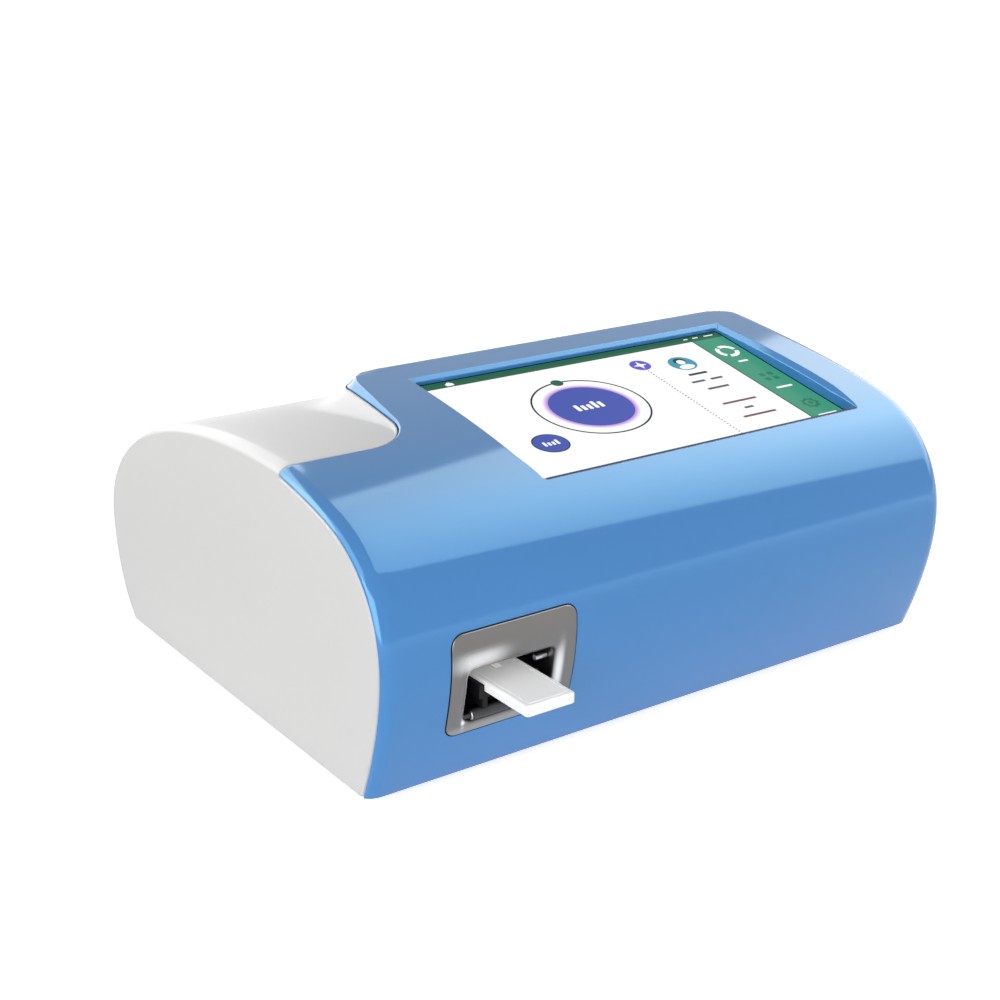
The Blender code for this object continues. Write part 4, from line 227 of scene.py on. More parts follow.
DOT_RUN = (22.5, -36.0, 22.0, 1.7, 0.7)
HALO = (-20.25, 4.4, 20.4, 18.3)
HALO_LAYERS = (1.1, 2)
HALO_FADE = (0.89, 1.0)
HALO_COLOUR = (0.56, 0.30, 0.75)

# Detail of the finishes
MOTTLE_SCALE = 35
ROUGHNESS_SPREAD = (0.9, 1.1)
GRAIN_DETAIL = 3
EDGE_SAMPLES = 6
TRACK_SCALE = 90
TRACK_LINE = 0.06
TRACK_COLOURS = (("Color1", (0.010, 0.10, 0.045)), ("Color2", (0.015, 0.14, 0.06)),
                 ("Mortar", (0.10, 0.22, 0.07)))

# Stage and light; a row of LAMPS has the values that lamp() takes, in its order
FLOOR_COLOUR = (0.9, 0.9, 0.9)
FLOOR_SIZE = 12.0
FLOOR_THICKNESS = 0.002
FLOOR_FADE = (0.25, 0.8)
FLOOR_GLOWS = (0.7, 1.0)
WORLD_LIGHT = 0.24
LAMP_AIM = 0.05
LAMPS = (("right_box", 89, 39, 1.285, 1.75, 1.62, 4.4, False, True, 0.43),
         ("rear_box", 200, 31, 1.6, 2.5, 1.35, 3.2, False, True, 1.0),
         ("left_box", -100, 42, 1.6, 2.0, 1.0, 2.4, False, True, 1.0),
         ("key_box", -58, 14, 1.6, 1.2, 1.0, 4.4, True, True, 1.0),
         ("fill_box", 50, 4, 1.5, 1.4, 1.0, 2.2, True, False, 1.0),
         ("top_box", 0, 88, 1.6, 1.2, 1.2, 0.6, True, False, 1.0),
         ("back_box", 165, 6, 1.6, 1.4, 1.0, 3.0, True, False, 1.0))

# View
CAMERA_PLACE = (-0.3834, -0.5219, 0.2867)
CAMERA_TURN = (70.59, 0.0, -35.15)
CAMERA_LENS = 61.2
CAMERA_SENSOR = 36


# Housing curves


def bezier(p0, p1, p2, p3, steps):
    """Points along a cubic Bezier curve, both ends included."""
    t = np.linspace(0, 1, steps + 1)[:, None]
    p0, p1, p2, p3 = (np.array(p, float) for p in (p0, p1, p2, p3))
    return (1 - t) ** 3 * p0 + 3 * (1 - t) ** 2 * t * p1 + 3 * (1 - t) * t ** 2 * p2 + t ** 3 * p3


def front_curve():
    """The side outline from the front bottom edge up to the shoulder."""
    a, b, c = LOWER_HANDLE_SHARES
    bulge = (-FRONT_BULGE, BULGE_HEIGHT)
    lower = bezier((0, 0), (-a * FRONT_BULGE, b * BULGE_HEIGHT), (-FRONT_BULGE, c * BULGE_HEIGHT), bulge,
                   CURVE_STEPS)
    climb = UPPER_HANDLE_SHARES[0] * (BROW[1] - BULGE_HEIGHT)
    reach = UPPER_HANDLE_SHARES[1] * (BROW[0] + FRONT_BULGE)
    upper = bezier(bulge, (-FRONT_BULGE, BULGE_HEIGHT + climb),
                   (BROW[0] - reach, BROW[1] - reach * BROW_SLOPE), BROW, 2 * CURVE_STEPS)
    reach = BROW_HANDLE_SHARE * (SHOULDER[0] - BROW[0])
    brow = bezier(BROW, (BROW[0] + reach, BROW[1] + reach * BROW_SLOPE),
                  (SHOULDER[0] - reach, SHOULDER[1] - reach * SHOULDER_SLOPE), SHOULDER, CURVE_STEPS)
    return np.vstack([lower[:-1], upper[:-1], brow])


def low_curve():
    """The white top, from the shoulder to the rear bulge."""
    reach = LOW_HANDLE_SHARES[0] * (REAR_BULGE[0] - SHOULDER[0])
    climb = LOW_HANDLE_SHARES[1] * (SHOULDER[1] - REAR_BULGE[1])
    return bezier(SHOULDER, (SHOULDER[0] + reach, SHOULDER[1] + reach * LOW_TOP_SLOPE),
                  (REAR_BULGE[0], REAR_BULGE[1] + climb), REAR_BULGE, FINE)


def high_curve():
    """The blue top of the raised housing, from the shoulder to the ridge."""
    reach = HIGH_HANDLE_SHARE * (RIDGE[0] - SHOULDER[0])
    return bezier(SHOULDER, (SHOULDER[0] + reach, SHOULDER[1] + reach * SHOULDER_SLOPE),
                  (RIDGE[0] - reach, RIDGE[1] - reach * RIDGE_SLOPE), RIDGE, FINE)


FRONT = front_curve()
LOW = low_curve()
HIGH = high_curve()


def side_outline():
    """The whole low outline, from the front bottom edge over the top to the rear bottom edge."""
    depths = np.arange(SHOULDER[0] + STATION_STEP, HOUSING_REAR + 2 * OVERRUN, STATION_STEP)
    top = np.stack([depths, np.interp(depths, LOW[:, 0], LOW[:, 1])], axis=1)
    first = int(np.searchsorted(LOW[:, 0], depths[-1]))
    rest = LOW[np.linspace(first, FINE, CURVE_STEPS).astype(int)[1:]]
    a, b, c = FOOT_HANDLE_SHARES
    overhang = REAR_BULGE[0] - REAR_FOOT_DEPTH
    foot = bezier(REAR_BULGE, (REAR_BULGE[0], a * REAR_BULGE[1]),
                  (REAR_FOOT_DEPTH + b * overhang, c * REAR_BULGE[1]), (REAR_FOOT_DEPTH, 0), CURVE_STEPS)
    return np.vstack([FRONT, top, rest, foot[1:]])


OUTLINE = side_outline()


def offset(points, inset):
    """Move an open outline inwards by a distance; it starts and ends on the level of its first point."""
    step = np.diff(points, axis=0)
    normal = np.stack([step[:, 1], -step[:, 0]], axis=1)
    normal /= np.linalg.norm(normal, axis=1, keepdims=True)
    before = np.vstack([normal[:1], normal])
    after = np.vstack([normal, normal[-1:]])
    mitre = (before + after) / (1 + np.sum(before * after, axis=1, keepdims=True))
    made = points + mitre * inset
    for end, run in ((0, step[0]), (-1, step[-1])):
        made[end] += run * (points[end][1] - made[end][1]) / run[1]
    return made


def high_at(depth):
    """Height of the raised housing's top at a depth."""
    return float(np.interp(depth, HIGH[:, 0], HIGH[:, 1]))


def skin_height(depth):
    """Height of the blue skin over the front and the raised housing at a depth."""
    if depth > SHOULDER[0]:
        return high_at(depth)
    crest = FRONT[FRONT[:, 1] >= BULGE_HEIGHT]
    return float(np.interp(depth, crest[:, 0], crest[:, 1]))


def front_depth(height):
    """Depth of the front skin at a height."""
    return float(np.interp(height, FRONT[:, 1], FRONT[:, 0]))


def housing_side(depth):
    """Where the straight left side of the raised housing stands at a depth."""
    held = min(max(depth, SEAM_DEPTH + SEAM_RADIUS), HOUSING_REAR)
    return HOUSING_LEFT + HOUSING_LEAN * (held - SEAM_DEPTH - SEAM_RADIUS)


def housing_edge(depth):
    """Where the foot of the rise stands at a depth: the straight side, bent left along the seam's corner."""
    short = SEAM_DEPTH + SEAM_RADIUS - max(depth, SHOULDER[0])
    if short <= 0:
        return housing_side(depth)
    return HOUSING_LEFT - SEAM_RADIUS + math.sqrt(SEAM_RADIUS ** 2 - short ** 2)


def inside_housing(x, depth):
    """Distance from the raised housing's outline, seen from above, positive inside."""
    left = (x - housing_side(depth)) / math.hypot(1, HOUSING_LEAN)
    short = SEAM_DEPTH + SEAM_RADIUS - depth
    if short > 0:
        left = math.hypot(max(x - HOUSING_LEFT + SEAM_RADIUS, 0), short) - SEAM_RADIUS
    rear = HOUSING_REAR - depth
    right = WIDTH + HOUSING_OVERHANG - x

    def corner(a, b, radius):
        """Distance from two sides that meet in a round corner."""
        if a < radius and b < radius:
            return radius - math.hypot(radius - a, radius - b)
        return min(a, b)

    return min(corner(left, rear, HOUSING_CORNER), corner(right, rear, HOUSING_FAR_CORNER))


def scoop(distance):
    """Share of the rise reached at a distance from the seam, in rises: hollow arc, then 45 degree slope."""
    radius = SEAM_RISE_SHARE / (1 - math.cos(math.pi / 4))
    run = radius * math.sin(math.pi / 4)
    if distance <= -run:
        return 0.0
    if distance < 0:
        return radius - math.sqrt(radius ** 2 - (distance + run) ** 2)
    return min(1.0, SEAM_RISE_SHARE + distance)


SCOOP_RUN = SEAM_RISE_SHARE / math.tan(math.pi / 8)


def lifted(x, depth, height, inset):
    """Height of the skin at a place once the raised housing is added to the low outline."""
    if depth <= SHOULDER[0] or height < BULGE_HEIGHT:
        return height
    rise = high_at(depth) - inset - height
    if rise <= 0:
        return height
    return height + rise * scoop(inside_housing(x, depth) / rise)


def row_places(inset):
    """Rows of the loft: each is a function of depth and height that gives x, with the row's own inset."""
    ends = [(0.0, 0.0)]
    if inset <= 0:
        turns = [math.radians(angle) for angle in np.linspace(90, 0, ARC_STEPS)]
        ends = [(END_WIDTH * (1 - math.sin(turn) ** END_FLATNESS),
                 END_INSET * (1 - math.cos(turn) ** END_FLATNESS)) for turn in turns]
    rows = [(lambda d, h, step=step: inset + step, sunk) for step, sunk in ends]
    rise_foot = housing_edge(0.0) - SCOOP_RUN * ROW_RISES[1]
    rows += [(lambda d, h, x=x: x, 0.0) for x in np.linspace(END_WIDTH, rise_foot, 4)[1:-1]]

    def rise_at(depth, height):
        """Rise that spaces the rows, kept between two limits."""
        return min(max(high_at(depth) - height, ROW_RISES[0]), ROW_RISES[1])

    for share in np.arange(-SCOOP_RUN, 1 - SEAM_RISE_SHARE + 3 * ROW_STEP_SHARE, ROW_STEP_SHARE):
        rows.append((lambda d, h, s=share: housing_edge(d) + s * rise_at(d, h), 0.0))
    start = HOUSING_LEFT + HOUSING_LEAN * (HOUSING_REAR - SEAM_DEPTH) + ROW_RISES[1] / 2
    near = np.linspace(start, WIDTH - HOUSING_FAR_CORNER, CURVE_STEPS)
    far = np.linspace(WIDTH - HOUSING_FAR_CORNER, WIDTH - END_WIDTH, CURVE_STEPS)[1:-1]
    rows += [(lambda d, h, x=x: x, 0.0) for x in (*near, *far)]
    rows += [(lambda d, h, step=step: WIDTH - inset - step, sunk) for step, sunk in reversed(ends)]
    return rows


# Meshes


def mesh_from(bm, name):
    """Turn a bmesh into a mesh with its faces pointing outwards."""
    bmesh.ops.recalc_face_normals(bm, faces=bm.faces)
    mesh = bpy.data.meshes.new(name)
    bm.to_mesh(mesh)
    bm.free()
    return mesh


def thing(mesh, name):
    """An object in the scene for a mesh, a light or a camera."""
    made = bpy.data.objects.new(name, mesh)
    bpy.context.scene.collection.objects.link(made)
    return made


def loft(rings, name, closed=False):
    """A solid from rings of equally many points: capped at both ends, or closed on itself."""
    bm = bmesh.new()
    rows = [[bm.verts.new(point) for point in ring] for ring in rings]
    pairs = list(zip(rows[:-1], rows[1:]))
    if closed:
        pairs.append((rows[-1], rows[0]))
    else:
        bm.faces.new(rows[0])
        bm.faces.new(rows[-1])
    for here, there in pairs:
        for i in range(len(here)):
            j = (i + 1) % len(here)
            bm.faces.new((here[i], here[j], there[j], there[i]))
    return thing(mesh_from(bm, name), name)


def slab(outline, low, high, plane, name):
    """A flat outline between two levels of the axis that its plane leaves free."""
    place = {"XY": lambda a, b, c: (a, b, c), "XZ": lambda a, b, c: (a, c, b)}[plane]
    return loft([[place(a, b, level) for a, b in outline] for level in (low, high)], name)


def arc(centre, radius, start, end, steps=ARC_STEPS):
    """Points on an arc, angles in degrees."""
    turn = np.radians(np.linspace(start, end, steps + 1))
    return [(centre[0] + radius * math.cos(a), centre[1] + radius * math.sin(a)) for a in turn]


def rounded(left, right, low, high, radius, steps=CORNER_STEPS):
    """A rectangle with round corners."""
    corners = (((right - radius, low + radius), -90), ((right - radius, high - radius), 0),
               ((left + radius, high - radius), 90), ((left + radius, low + radius), 180))
    points = []
    for centre, start in corners:
        points += arc(centre, radius, start, start + 90, steps)
    return points


def ellipse(u, v, wide, high, steps=ELLIPSE_STEPS):
    """Points round an ellipse."""
    turn = np.linspace(0, 2 * math.pi, steps, endpoint=False)
    return [(u + wide * math.cos(a), v + high * math.sin(a)) for a in turn]


def boolean(piece, operation, other):
    """Cut or trim a piece with a solid that isn't needed afterwards."""
    step = piece.modifiers.new("step", "BOOLEAN")
    step.operation = operation
    step.solver = "EXACT"
    step.object = other
    bpy.context.view_layer.update()
    piece_now = piece.evaluated_get(bpy.context.evaluated_depsgraph_get())
    piece.data = bpy.data.meshes.new_from_object(piece_now)
    piece.modifiers.clear()
    bpy.data.objects.remove(other, do_unlink=True)
    return piece


def gather(solids, name):
    """Several solids that don't touch, as one."""
    bm = bmesh.new()
    for solid in solids:
        bm.from_mesh(solid.data)
        bpy.data.objects.remove(solid, do_unlink=True)
    return thing(mesh_from(bm, name), name)


def body_solid(inset, name, drop=0.0):
    """The housing as one solid, moved inwards by inset; a drop makes it coarser and longer downwards."""
    places = row_places(inset)
    outline = OUTLINE
    if drop:
        places = places[:-1:HOLLOW_STRIDE] + places[-1:]
        outline = np.vstack([OUTLINE[:-1:HOLLOW_STRIDE], OUTLINE[-1:]])
    rows = []
    for place, sunk in places:
        line = offset(outline, inset + sunk)
        row = [(place(d, h), d, lifted(place(d, h), d, h, inset + sunk)) for d, h in line]
        if drop:
            row = [(row[0][0], row[0][1], -drop)] + row + [(row[-1][0], row[-1][1], -drop)]
        rows.append(row)
    return loft(rows, name)


def cover_zone(grow):
    """The region of the blue cover, seen from above: full width in front, the raised housing behind."""
    left = HOUSING_LEFT - grow
    seam = SEAM_DEPTH + grow
    outline = [(-OVERRUN, -FRONT_BULGE - OVERRUN), (-OVERRUN, seam)]
    outline += arc((left - SEAM_RADIUS, seam + SEAM_RADIUS), SEAM_RADIUS, -90, 0)
    rear = HOUSING_REAR + grow
    inner = HOUSING_CORNER + grow
    top = housing_side(rear - inner) - grow
    outline += arc((top + inner, rear - inner), inner, 180, 90)
    round_far = HOUSING_FAR_CORNER + grow
    far = WIDTH + HOUSING_OVERHANG + grow
    outline += arc((far - round_far, rear - round_far), round_far, 90, 0)
    outline += [(WIDTH + OVERRUN, rear - round_far), (WIDTH + OVERRUN, -FRONT_BULGE - OVERRUN)]
    return slab(outline, -OVERRUN, RIDGE[1] + OVERRUN, "XY", "zone")


def end_plug(side, grow, flare):
    """A side panel's zone: the housing's outline at one end, moved inwards; the flare rounds its edge."""
    x, outwards = (0.0, -1) if side < 0 else (WIDTH, 1)
    turns = [math.radians(angle) for angle in PLUG_TURNS]
    levels = [(SEAM_ROUND * (1 - math.cos(turn)), flare * (1 - math.sin(turn))) for turn in turns]
    rings = []
    for sink, shift in [(-2 * OVERRUN, flare)] + levels + [(WALL, 0.0)]:
        inset = END_INSET + SIDE_LAND + grow + shift
        outline = [(float(d), float(lifted(x, d, h, inset))) for d, h in offset(OUTLINE, inset)]
        outline = [(outline[0][0], -OVERRUN)] + outline + [(outline[-1][0], -OVERRUN)]
        rings.append([(x - outwards * sink, d, h) for d, h in outline])
    return loft(rings, "plug")


def display_frame():
    """A matrix with the display's centre and axes (across, along, out of the glass), and its length."""
    near, far = WINDOW_DEPTHS
    low = skin_height(near) - WINDOW_SINKS[0]
    high = skin_height(far) - WINDOW_SINKS[1]
    tilt = math.atan2(high - low, far - near)
    centre = (WINDOW_LEFT + WINDOW_WIDTH / 2, (near + far) / 2, (low + high) / 2)
    return Matrix.Translation(centre) @ Matrix.Rotation(tilt, 4, "X"), math.hypot(high - low, far - near)


DISPLAY, WINDOW_LENGTH = display_frame()


def window_prism(grow, low):
    """The display window's outline, grown, from a level of the display to above the skin."""
    half_width = WINDOW_WIDTH / 2 + grow
    half_length = WINDOW_LENGTH / 2 + grow
    outline = rounded(-half_width, half_width, -half_length, half_length, WINDOW_CORNER + grow)
    prism = slab(outline, low, 3 * OVERRUN, "XY", "window")
    prism.data.transform(DISPLAY)
    return prism


def recess_slope():
    """The 45 degree slope round the recess: it follows the skin and fades out towards the front."""
    half = WINDOW_WIDTH / 2
    centre = WINDOW_LEFT + half
    near, far = WINDOW_DEPTHS
    far -= RECESS_SLOPE / 2
    rings = []
    for depth in np.linspace(near, far, CURVE_STEPS):
        fade = min(1.0, (depth - near) / SLOPE_FADE)
        slope = RECESS_FRONT_SLOPE + (RECESS_SLOPE - RECESS_FRONT_SLOPE) * fade
        low = skin_height(depth) - slope
        high = skin_height(depth) + WALL
        reach = half + slope + WALL
        rings.append([(centre - half, depth, low), (centre + half, depth, low),
                      (centre + reach, depth, high), (centre - reach, depth, high)])
    run = RECESS_SLOPE + WALL
    high = skin_height(far + run) + WALL
    low = high - SLOPE_TAIL
    reach = half + run
    rings.append([(centre - reach, far + run, low), (centre + reach, far + run, low),
                  (centre + reach, far + run, high), (centre - reach, far + run, high)])
    return loft(rings, "slope")


def follow_skin(piece, guide, agree=0.9, near=0.00003):
    """Give a piece the guide's smooth normals wherever its faces lie on the guide's skin."""
    tree = BVHTree.FromObject(guide, bpy.context.evaluated_depsgraph_get())
    mesh = guide.data
    made = piece.data
    normals = [None] * len(made.loops)
    for face in made.polygons:
        flat = face.normal
        for loop in face.loop_indices:
            point = made.vertices[made.loops[loop].vertex_index].co
            place, _, index, gap = tree.find_nearest(point)
            normal = flat
            if gap < near:
                corners = mesh.polygons[index].vertices
                weights = poly_3d_calc([mesh.vertices[c].co for c in corners], place)
                smooth = sum((mesh.vertices[c].normal * w for c, w in zip(corners, weights)), Vector())
                if smooth.normalized().dot(flat) > agree:
                    normal = smooth.normalized()
            normals[loop] = normal
    for face in made.polygons:
        face.use_smooth = True
    made.normals_split_custom_set(normals)


# Finishes


def finish(name, colour, roughness, metallic=0.0, grain=(0.0004, 0.00002), mottle=0.03, edge=0.0003,
           tint=None, stretch=(1, 1, 1), glow=0.0, ior=1.5):
    """A Principled material: colour and roughness that vary a little, a fine grain and softened edges.

    The grain is (size, depth) in metres, and stretch draws it out along an axis. Glow lights the colour by
    itself, tint colours the gloss, and ior sets how strong the gloss is.
    """
    made = bpy.data.materials.new(name)
    made.use_nodes = True
    nodes = made.node_tree.nodes
    links = made.node_tree.links
    shader = nodes["Principled BSDF"]
    shader.inputs["Metallic"].default_value = metallic
    shader.inputs["IOR"].default_value = ior
    if tint:
        shader.inputs["Specular Tint"].default_value = (*tint, 1)
    place = nodes.new("ShaderNodeTexCoord")
    drawn = nodes.new("ShaderNodeMapping")
    drawn.inputs["Scale"].default_value = stretch
    links.new(place.outputs["Object"], drawn.inputs["Vector"])
    cloud = nodes.new("ShaderNodeTexNoise")
    cloud.inputs["Scale"].default_value = MOTTLE_SCALE
    links.new(place.outputs["Object"], cloud.inputs["Vector"])
    shade = nodes.new("ShaderNodeMix")
    shade.data_type = "RGBA"
    shade.inputs["A"].default_value = (*[c * (1 - mottle) for c in colour], 1)
    shade.inputs["B"].default_value = (*[min(1.0, c * (1 + mottle)) for c in colour], 1)
    links.new(cloud.outputs["Fac"], shade.inputs["Factor"])
    links.new(shade.outputs["Result"], shader.inputs["Base Color"])
    worn = nodes.new("ShaderNodeMapRange")
    worn.inputs["To Min"].default_value = roughness * ROUGHNESS_SPREAD[0]
    worn.inputs["To Max"].default_value = roughness * ROUGHNESS_SPREAD[1]
    links.new(cloud.outputs["Fac"], worn.inputs["Value"])
    links.new(worn.outputs["Result"], shader.inputs["Roughness"])
    fine = nodes.new("ShaderNodeTexNoise")
    fine.inputs["Scale"].default_value = 1 / grain[0]
    fine.inputs["Detail"].default_value = GRAIN_DETAIL
    links.new(drawn.outputs["Vector"], fine.inputs["Vector"])
    bump = nodes.new("ShaderNodeBump")
    bump.inputs["Strength"].default_value = 1
    bump.inputs["Distance"].default_value = grain[1]
    links.new(fine.outputs["Fac"], bump.inputs["Height"])
    if edge:
        soft = nodes.new("ShaderNodeBevel")
        soft.samples = EDGE_SAMPLES
        soft.inputs["Radius"].default_value = edge
        links.new(soft.outputs["Normal"], bump.inputs["Normal"])
    links.new(bump.outputs["Normal"], shader.inputs["Normal"])
    if glow:
        shader.inputs["Emission Strength"].default_value = glow
        links.new(shade.outputs["Result"], shader.inputs["Emission Color"])
    return made


BLUE = finish("blue_shell", (0.060, 0.235, 0.61), 0.09, grain=(0.0005, 0.000001), mottle=0.02,
              edge=0.0006, tint=(0.42, 0.82, 1.0), ior=1.8)
WHITE = finish("white_shell", (0.67, 0.67, 0.665), 0.37, grain=(0.0006, 0.000002), mottle=0.004,
               edge=0.0011, ior=1.6)
GREY = finish("grey_base", (0.42, 0.43, 0.44), 0.6, grain=(0.0006, 0.00004))
RUBBER = finish("rubber", (0.02, 0.02, 0.02), 0.85, grain=(0.0004, 0.00006), mottle=0.2)
SATIN = finish("slot_metal", (0.18, 0.175, 0.17), 0.36, 1.0, grain=(0.0004, 0.000003), stretch=(0.1, 1, 1),
               mottle=0.04, edge=0.0002)
SHEET = finish("sheet_metal", (0.55, 0.56, 0.57), 0.4, 1.0, grain=(0.0003, 0.000006), stretch=(0.05, 1, 1))
CAN = finish("motor_metal", (0.40, 0.39, 0.37), 0.35, 1.0, grain=(0.0003, 0.000005), stretch=(1, 0.05, 1))
STEEL = finish("steel", (0.55, 0.55, 0.56), 0.3, 1.0, grain=(0.0003, 0.000004), stretch=(1, 1, 0.1),
               edge=0.00015)
BRASS = finish("brass", (0.62, 0.45, 0.18), 0.35, 1.0, grain=(0.0003, 0.000005), stretch=(1, 1, 0.1))
BLACK = finish("black_plastic", (0.008, 0.008, 0.009), 0.55, grain=(0.0005, 0.00003), mottle=0.1, ior=1.3)
# Near-black on the reader frame and head bridge: partly a dark coat, partly painted shade for the slot's
# interior
COAT_AND_SHADE = finish("frame_coat_and_shade", (0.012, 0.012, 0.013), 0.6, grain=(0.0004, 0.00003), mottle=0.1, ior=1.3)
ROLLER = finish("roller_sleeve", (0.035, 0.035, 0.037), 0.45, grain=(0.0003, 0.000015), mottle=0.1)
# The cassette's plastic glows a little: painted light that brightens it beyond what the lamps give
CARD = finish("cassette_plastic", (0.93, 0.93, 0.925), 0.35, grain=(0.0003, 0.000005), mottle=0.005,
              glow=0.22)
PAPER = finish("test_strip", (0.85, 0.83, 0.79), 0.95, grain=(0.0001, 0.00002), mottle=0.05,
               stretch=(1, 0.2, 1))
GLASS = finish("display_glass", (0.012, 0.012, 0.014), 0.08, grain=(0.002, 0.000001), mottle=0.05,
               edge=0.0002)
# Dark seal colour: painted shade for the window's front lip, partly a real seal
SHADE_SEAL = finish("display_shade_seal", (0.01, 0.035, 0.09), 0.6, grain=(0.0004, 0.00001), ior=1.3)
PANEL = finish("display_panel", (0.05, 0.05, 0.055), 0.3, grain=(0.0005, 0.00001))
LENS = finish("lens_glass", (0.55, 0.65, 0.72), 0.04, grain=(0.001, 0.0000005), mottle=0.05)
RIBBON = finish("ribbon", (0.72, 0.72, 0.70), 0.5, grain=(0.0005, 0.00003), stretch=(1, 0.02, 0.02))


def board_finish():
    """Green solder mask with a pattern of copper tracks under it."""
    made = finish("circuit_board", (0.015, 0.14, 0.06), 0.4, grain=(0.0005, 0.00001), mottle=0.1)
    nodes = made.node_tree.nodes
    links = made.node_tree.links
    shade = next(node for node in nodes if node.type == "MIX")
    place = next(node for node in nodes if node.type == "TEX_COORD")
    tracks = nodes.new("ShaderNodeTexBrick")
    tracks.inputs["Scale"].default_value = TRACK_SCALE
    tracks.inputs["Mortar Size"].default_value = TRACK_LINE
    for key, colour in TRACK_COLOURS:
        tracks.inputs[key].default_value = (*colour, 1)
    links.new(place.outputs["Object"], tracks.inputs["Vector"])
    links.new(tracks.outputs["Color"], shade.inputs["A"])
    return made


BOARD = board_finish()
NODE_FINISHES = {
    "front_cover": BLUE, "rear_casing": WHITE, "slot_bezel": SATIN, "base_plate": GREY, "rear_panel": GREY,
    "foot": RUBBER, "base_screw": STEEL, "display_screw": STEEL, "slot_stud": STEEL, "guide_rod": STEEL,
    "lead_screw": STEEL, "usb_port": STEEL, "network_port": STEEL, "serial_port": STEEL,
    "display_bracket": SHEET, "reader_frame": COAT_AND_SHADE, "head_bridge": COAT_AND_SHADE, "drive_motor": CAN,
    "drive_nut": BRASS, "display_glass": GLASS, "lcd_module": PANEL, "slot_roller": ROLLER,
    "card_tray": BLACK, "optical_head": BLACK, "position_sensor": BLACK, "power_inlet": BLACK,
    "switch_housing": BLACK, "power_rocker": BLACK, "speaker": BLACK, "cassette": CARD, "test_strip": PAPER,
    "main_board": BOARD, "power_board": BOARD, "detector_board": BOARD, "head_lens": LENS,
    "display_cable": RIBBON}


# Pieces


def dress_nodes():
    """Give every carried-over CAD node its finish."""
    for name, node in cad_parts.items():
        key = max((key for key in NODE_FINISHES if name.startswith(key)), key=len)
        node.data.materials.clear()
        node.data.materials.append(NODE_FINISHES[key])


def hang(piece, name, made_of, body, slot, *nodes):
    """Carry a piece into the frame, name it, give it its finish and let it stand for CAD nodes."""
    piece.name = name
    piece.data.name = name
    piece.data.transform(HOME)
    piece.data.materials.clear()
    piece.data.materials.append(made_of)
    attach(piece, body)
    if nodes:
        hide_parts(*nodes)
    return piece


def make_shells():
    """Blue cover and white casing, cut from one fine skin and shaded by it."""
    skin = body_solid(0.0, "skin")
    shell = thing(skin.data.copy(), "shell")
    boolean(shell, "DIFFERENCE", body_solid(WALL, "hollow", OVERRUN))
    cover = thing(shell.data.copy(), "cover")
    boolean(cover, "INTERSECT", cover_zone(0.0))
    plugs = gather([end_plug(side, 0.0, -SEAM_ROUND) for side in (-1, 1)], "plugs")
    boolean(cover, "DIFFERENCE", plugs)
    window_walls = boolean(window_prism(WALL, GLASS_GAP), "INTERSECT", body_solid(WALL / 2, "half_skin"))
    boolean(cover, "UNION", window_walls)
    boolean(cover, "DIFFERENCE", window_prism(0.0, -OVERRUN))
    boolean(cover, "DIFFERENCE", recess_slope())
    boolean(cover, "DIFFERENCE", slab(plate_outline(-SEAM_GAP), -3 * OVERRUN, OVERRUN / 2, "XZ", "pocket"))
    follow_skin(cover, skin)
    hang(cover, "cover_shell", BLUE, "analyzer", "blue_shell", "front_cover")
    zone = cover_zone(SEAM_GAP)
    panels = gather([end_plug(side, SEAM_GAP, SEAM_ROUND) for side in (-1, 1)], "panels")
    boolean(zone, "DIFFERENCE", panels)
    boolean(shell, "DIFFERENCE", zone)
    low, high = BAY_HEIGHTS
    left, right = BAY_SIDES
    behind = REAR_BULGE[0] + OVERRUN
    around = rounded(left - WALL, right + WALL, low - WALL, high + WALL, BAY_CORNER + WALL)
    walls = slab(around, BAY_FLOOR - WALL, behind, "XZ", "walls")
    boolean(walls, "INTERSECT", body_solid(WALL / 2, "limit"))
    boolean(shell, "UNION", walls)
    bay = rounded(left, right, low, high, BAY_CORNER)
    holes = [slab(bay, BAY_FLOOR - OVERRUN, behind + OVERRUN, "XZ", "bay")]
    for i in range(VENT_COUNT):
        x = VENT_LEFT + i * VENT_PITCH
        vent = rounded(x, x + VENT_WIDTH, low, high, VENT_WIDTH / 3)
        holes.append(slab(vent, BAY_FLOOR, behind, "XZ", "vent"))
    boolean(shell, "DIFFERENCE", gather(holes, "holes"))
    follow_skin(shell, skin)
    hang(shell, "casing_shell", WHITE, "analyzer", "white_shell", "rear_casing")
    bpy.data.objects.remove(skin, do_unlink=True)


def plate_outline(inset):
    """The slot plate's outline, moved inwards."""
    half = PLATE_WIDTH / 2 - inset
    return rounded(SLOT_CENTRE - half, SLOT_CENTRE + half, PLATE_HEIGHTS[0] + inset,
                   PLATE_HEIGHTS[1] - inset, PLATE_CORNER - inset)


def mouth_outline(grow, grow_up):
    """The card mouth's outline, grown sideways and upwards."""
    half = MOUTH_WIDTH / 2 + grow
    return rounded(SLOT_CENTRE - half, SLOT_CENTRE + half, MOUTH_HEIGHTS[0] - grow_up,
                   MOUTH_HEIGHTS[1] + grow_up, MOUTH_CORNER + min(grow, grow_up))


def painted_highlight_at(x, height):
    """How much painted highlight the slot plate has at a place, from 0 to 1.

    Each row of the table has a painted highlight's place, from the mouth's lower left, its two reaches in mm
    and its most.
    """
    right = (x - SLOT_CENTRE + MOUTH_WIDTH / 2) / MM
    up = (height - MOUTH_HEIGHTS[0]) / MM
    shares = [most * math.exp(-abs((right - u) / wide) ** HIGHLIGHT_FALL - abs((up - v) / high) ** HIGHLIGHT_FALL)
              for u, v, wide, high, most in PAINTED_HIGHLIGHTS]
    return min(1.0, sum(shares))


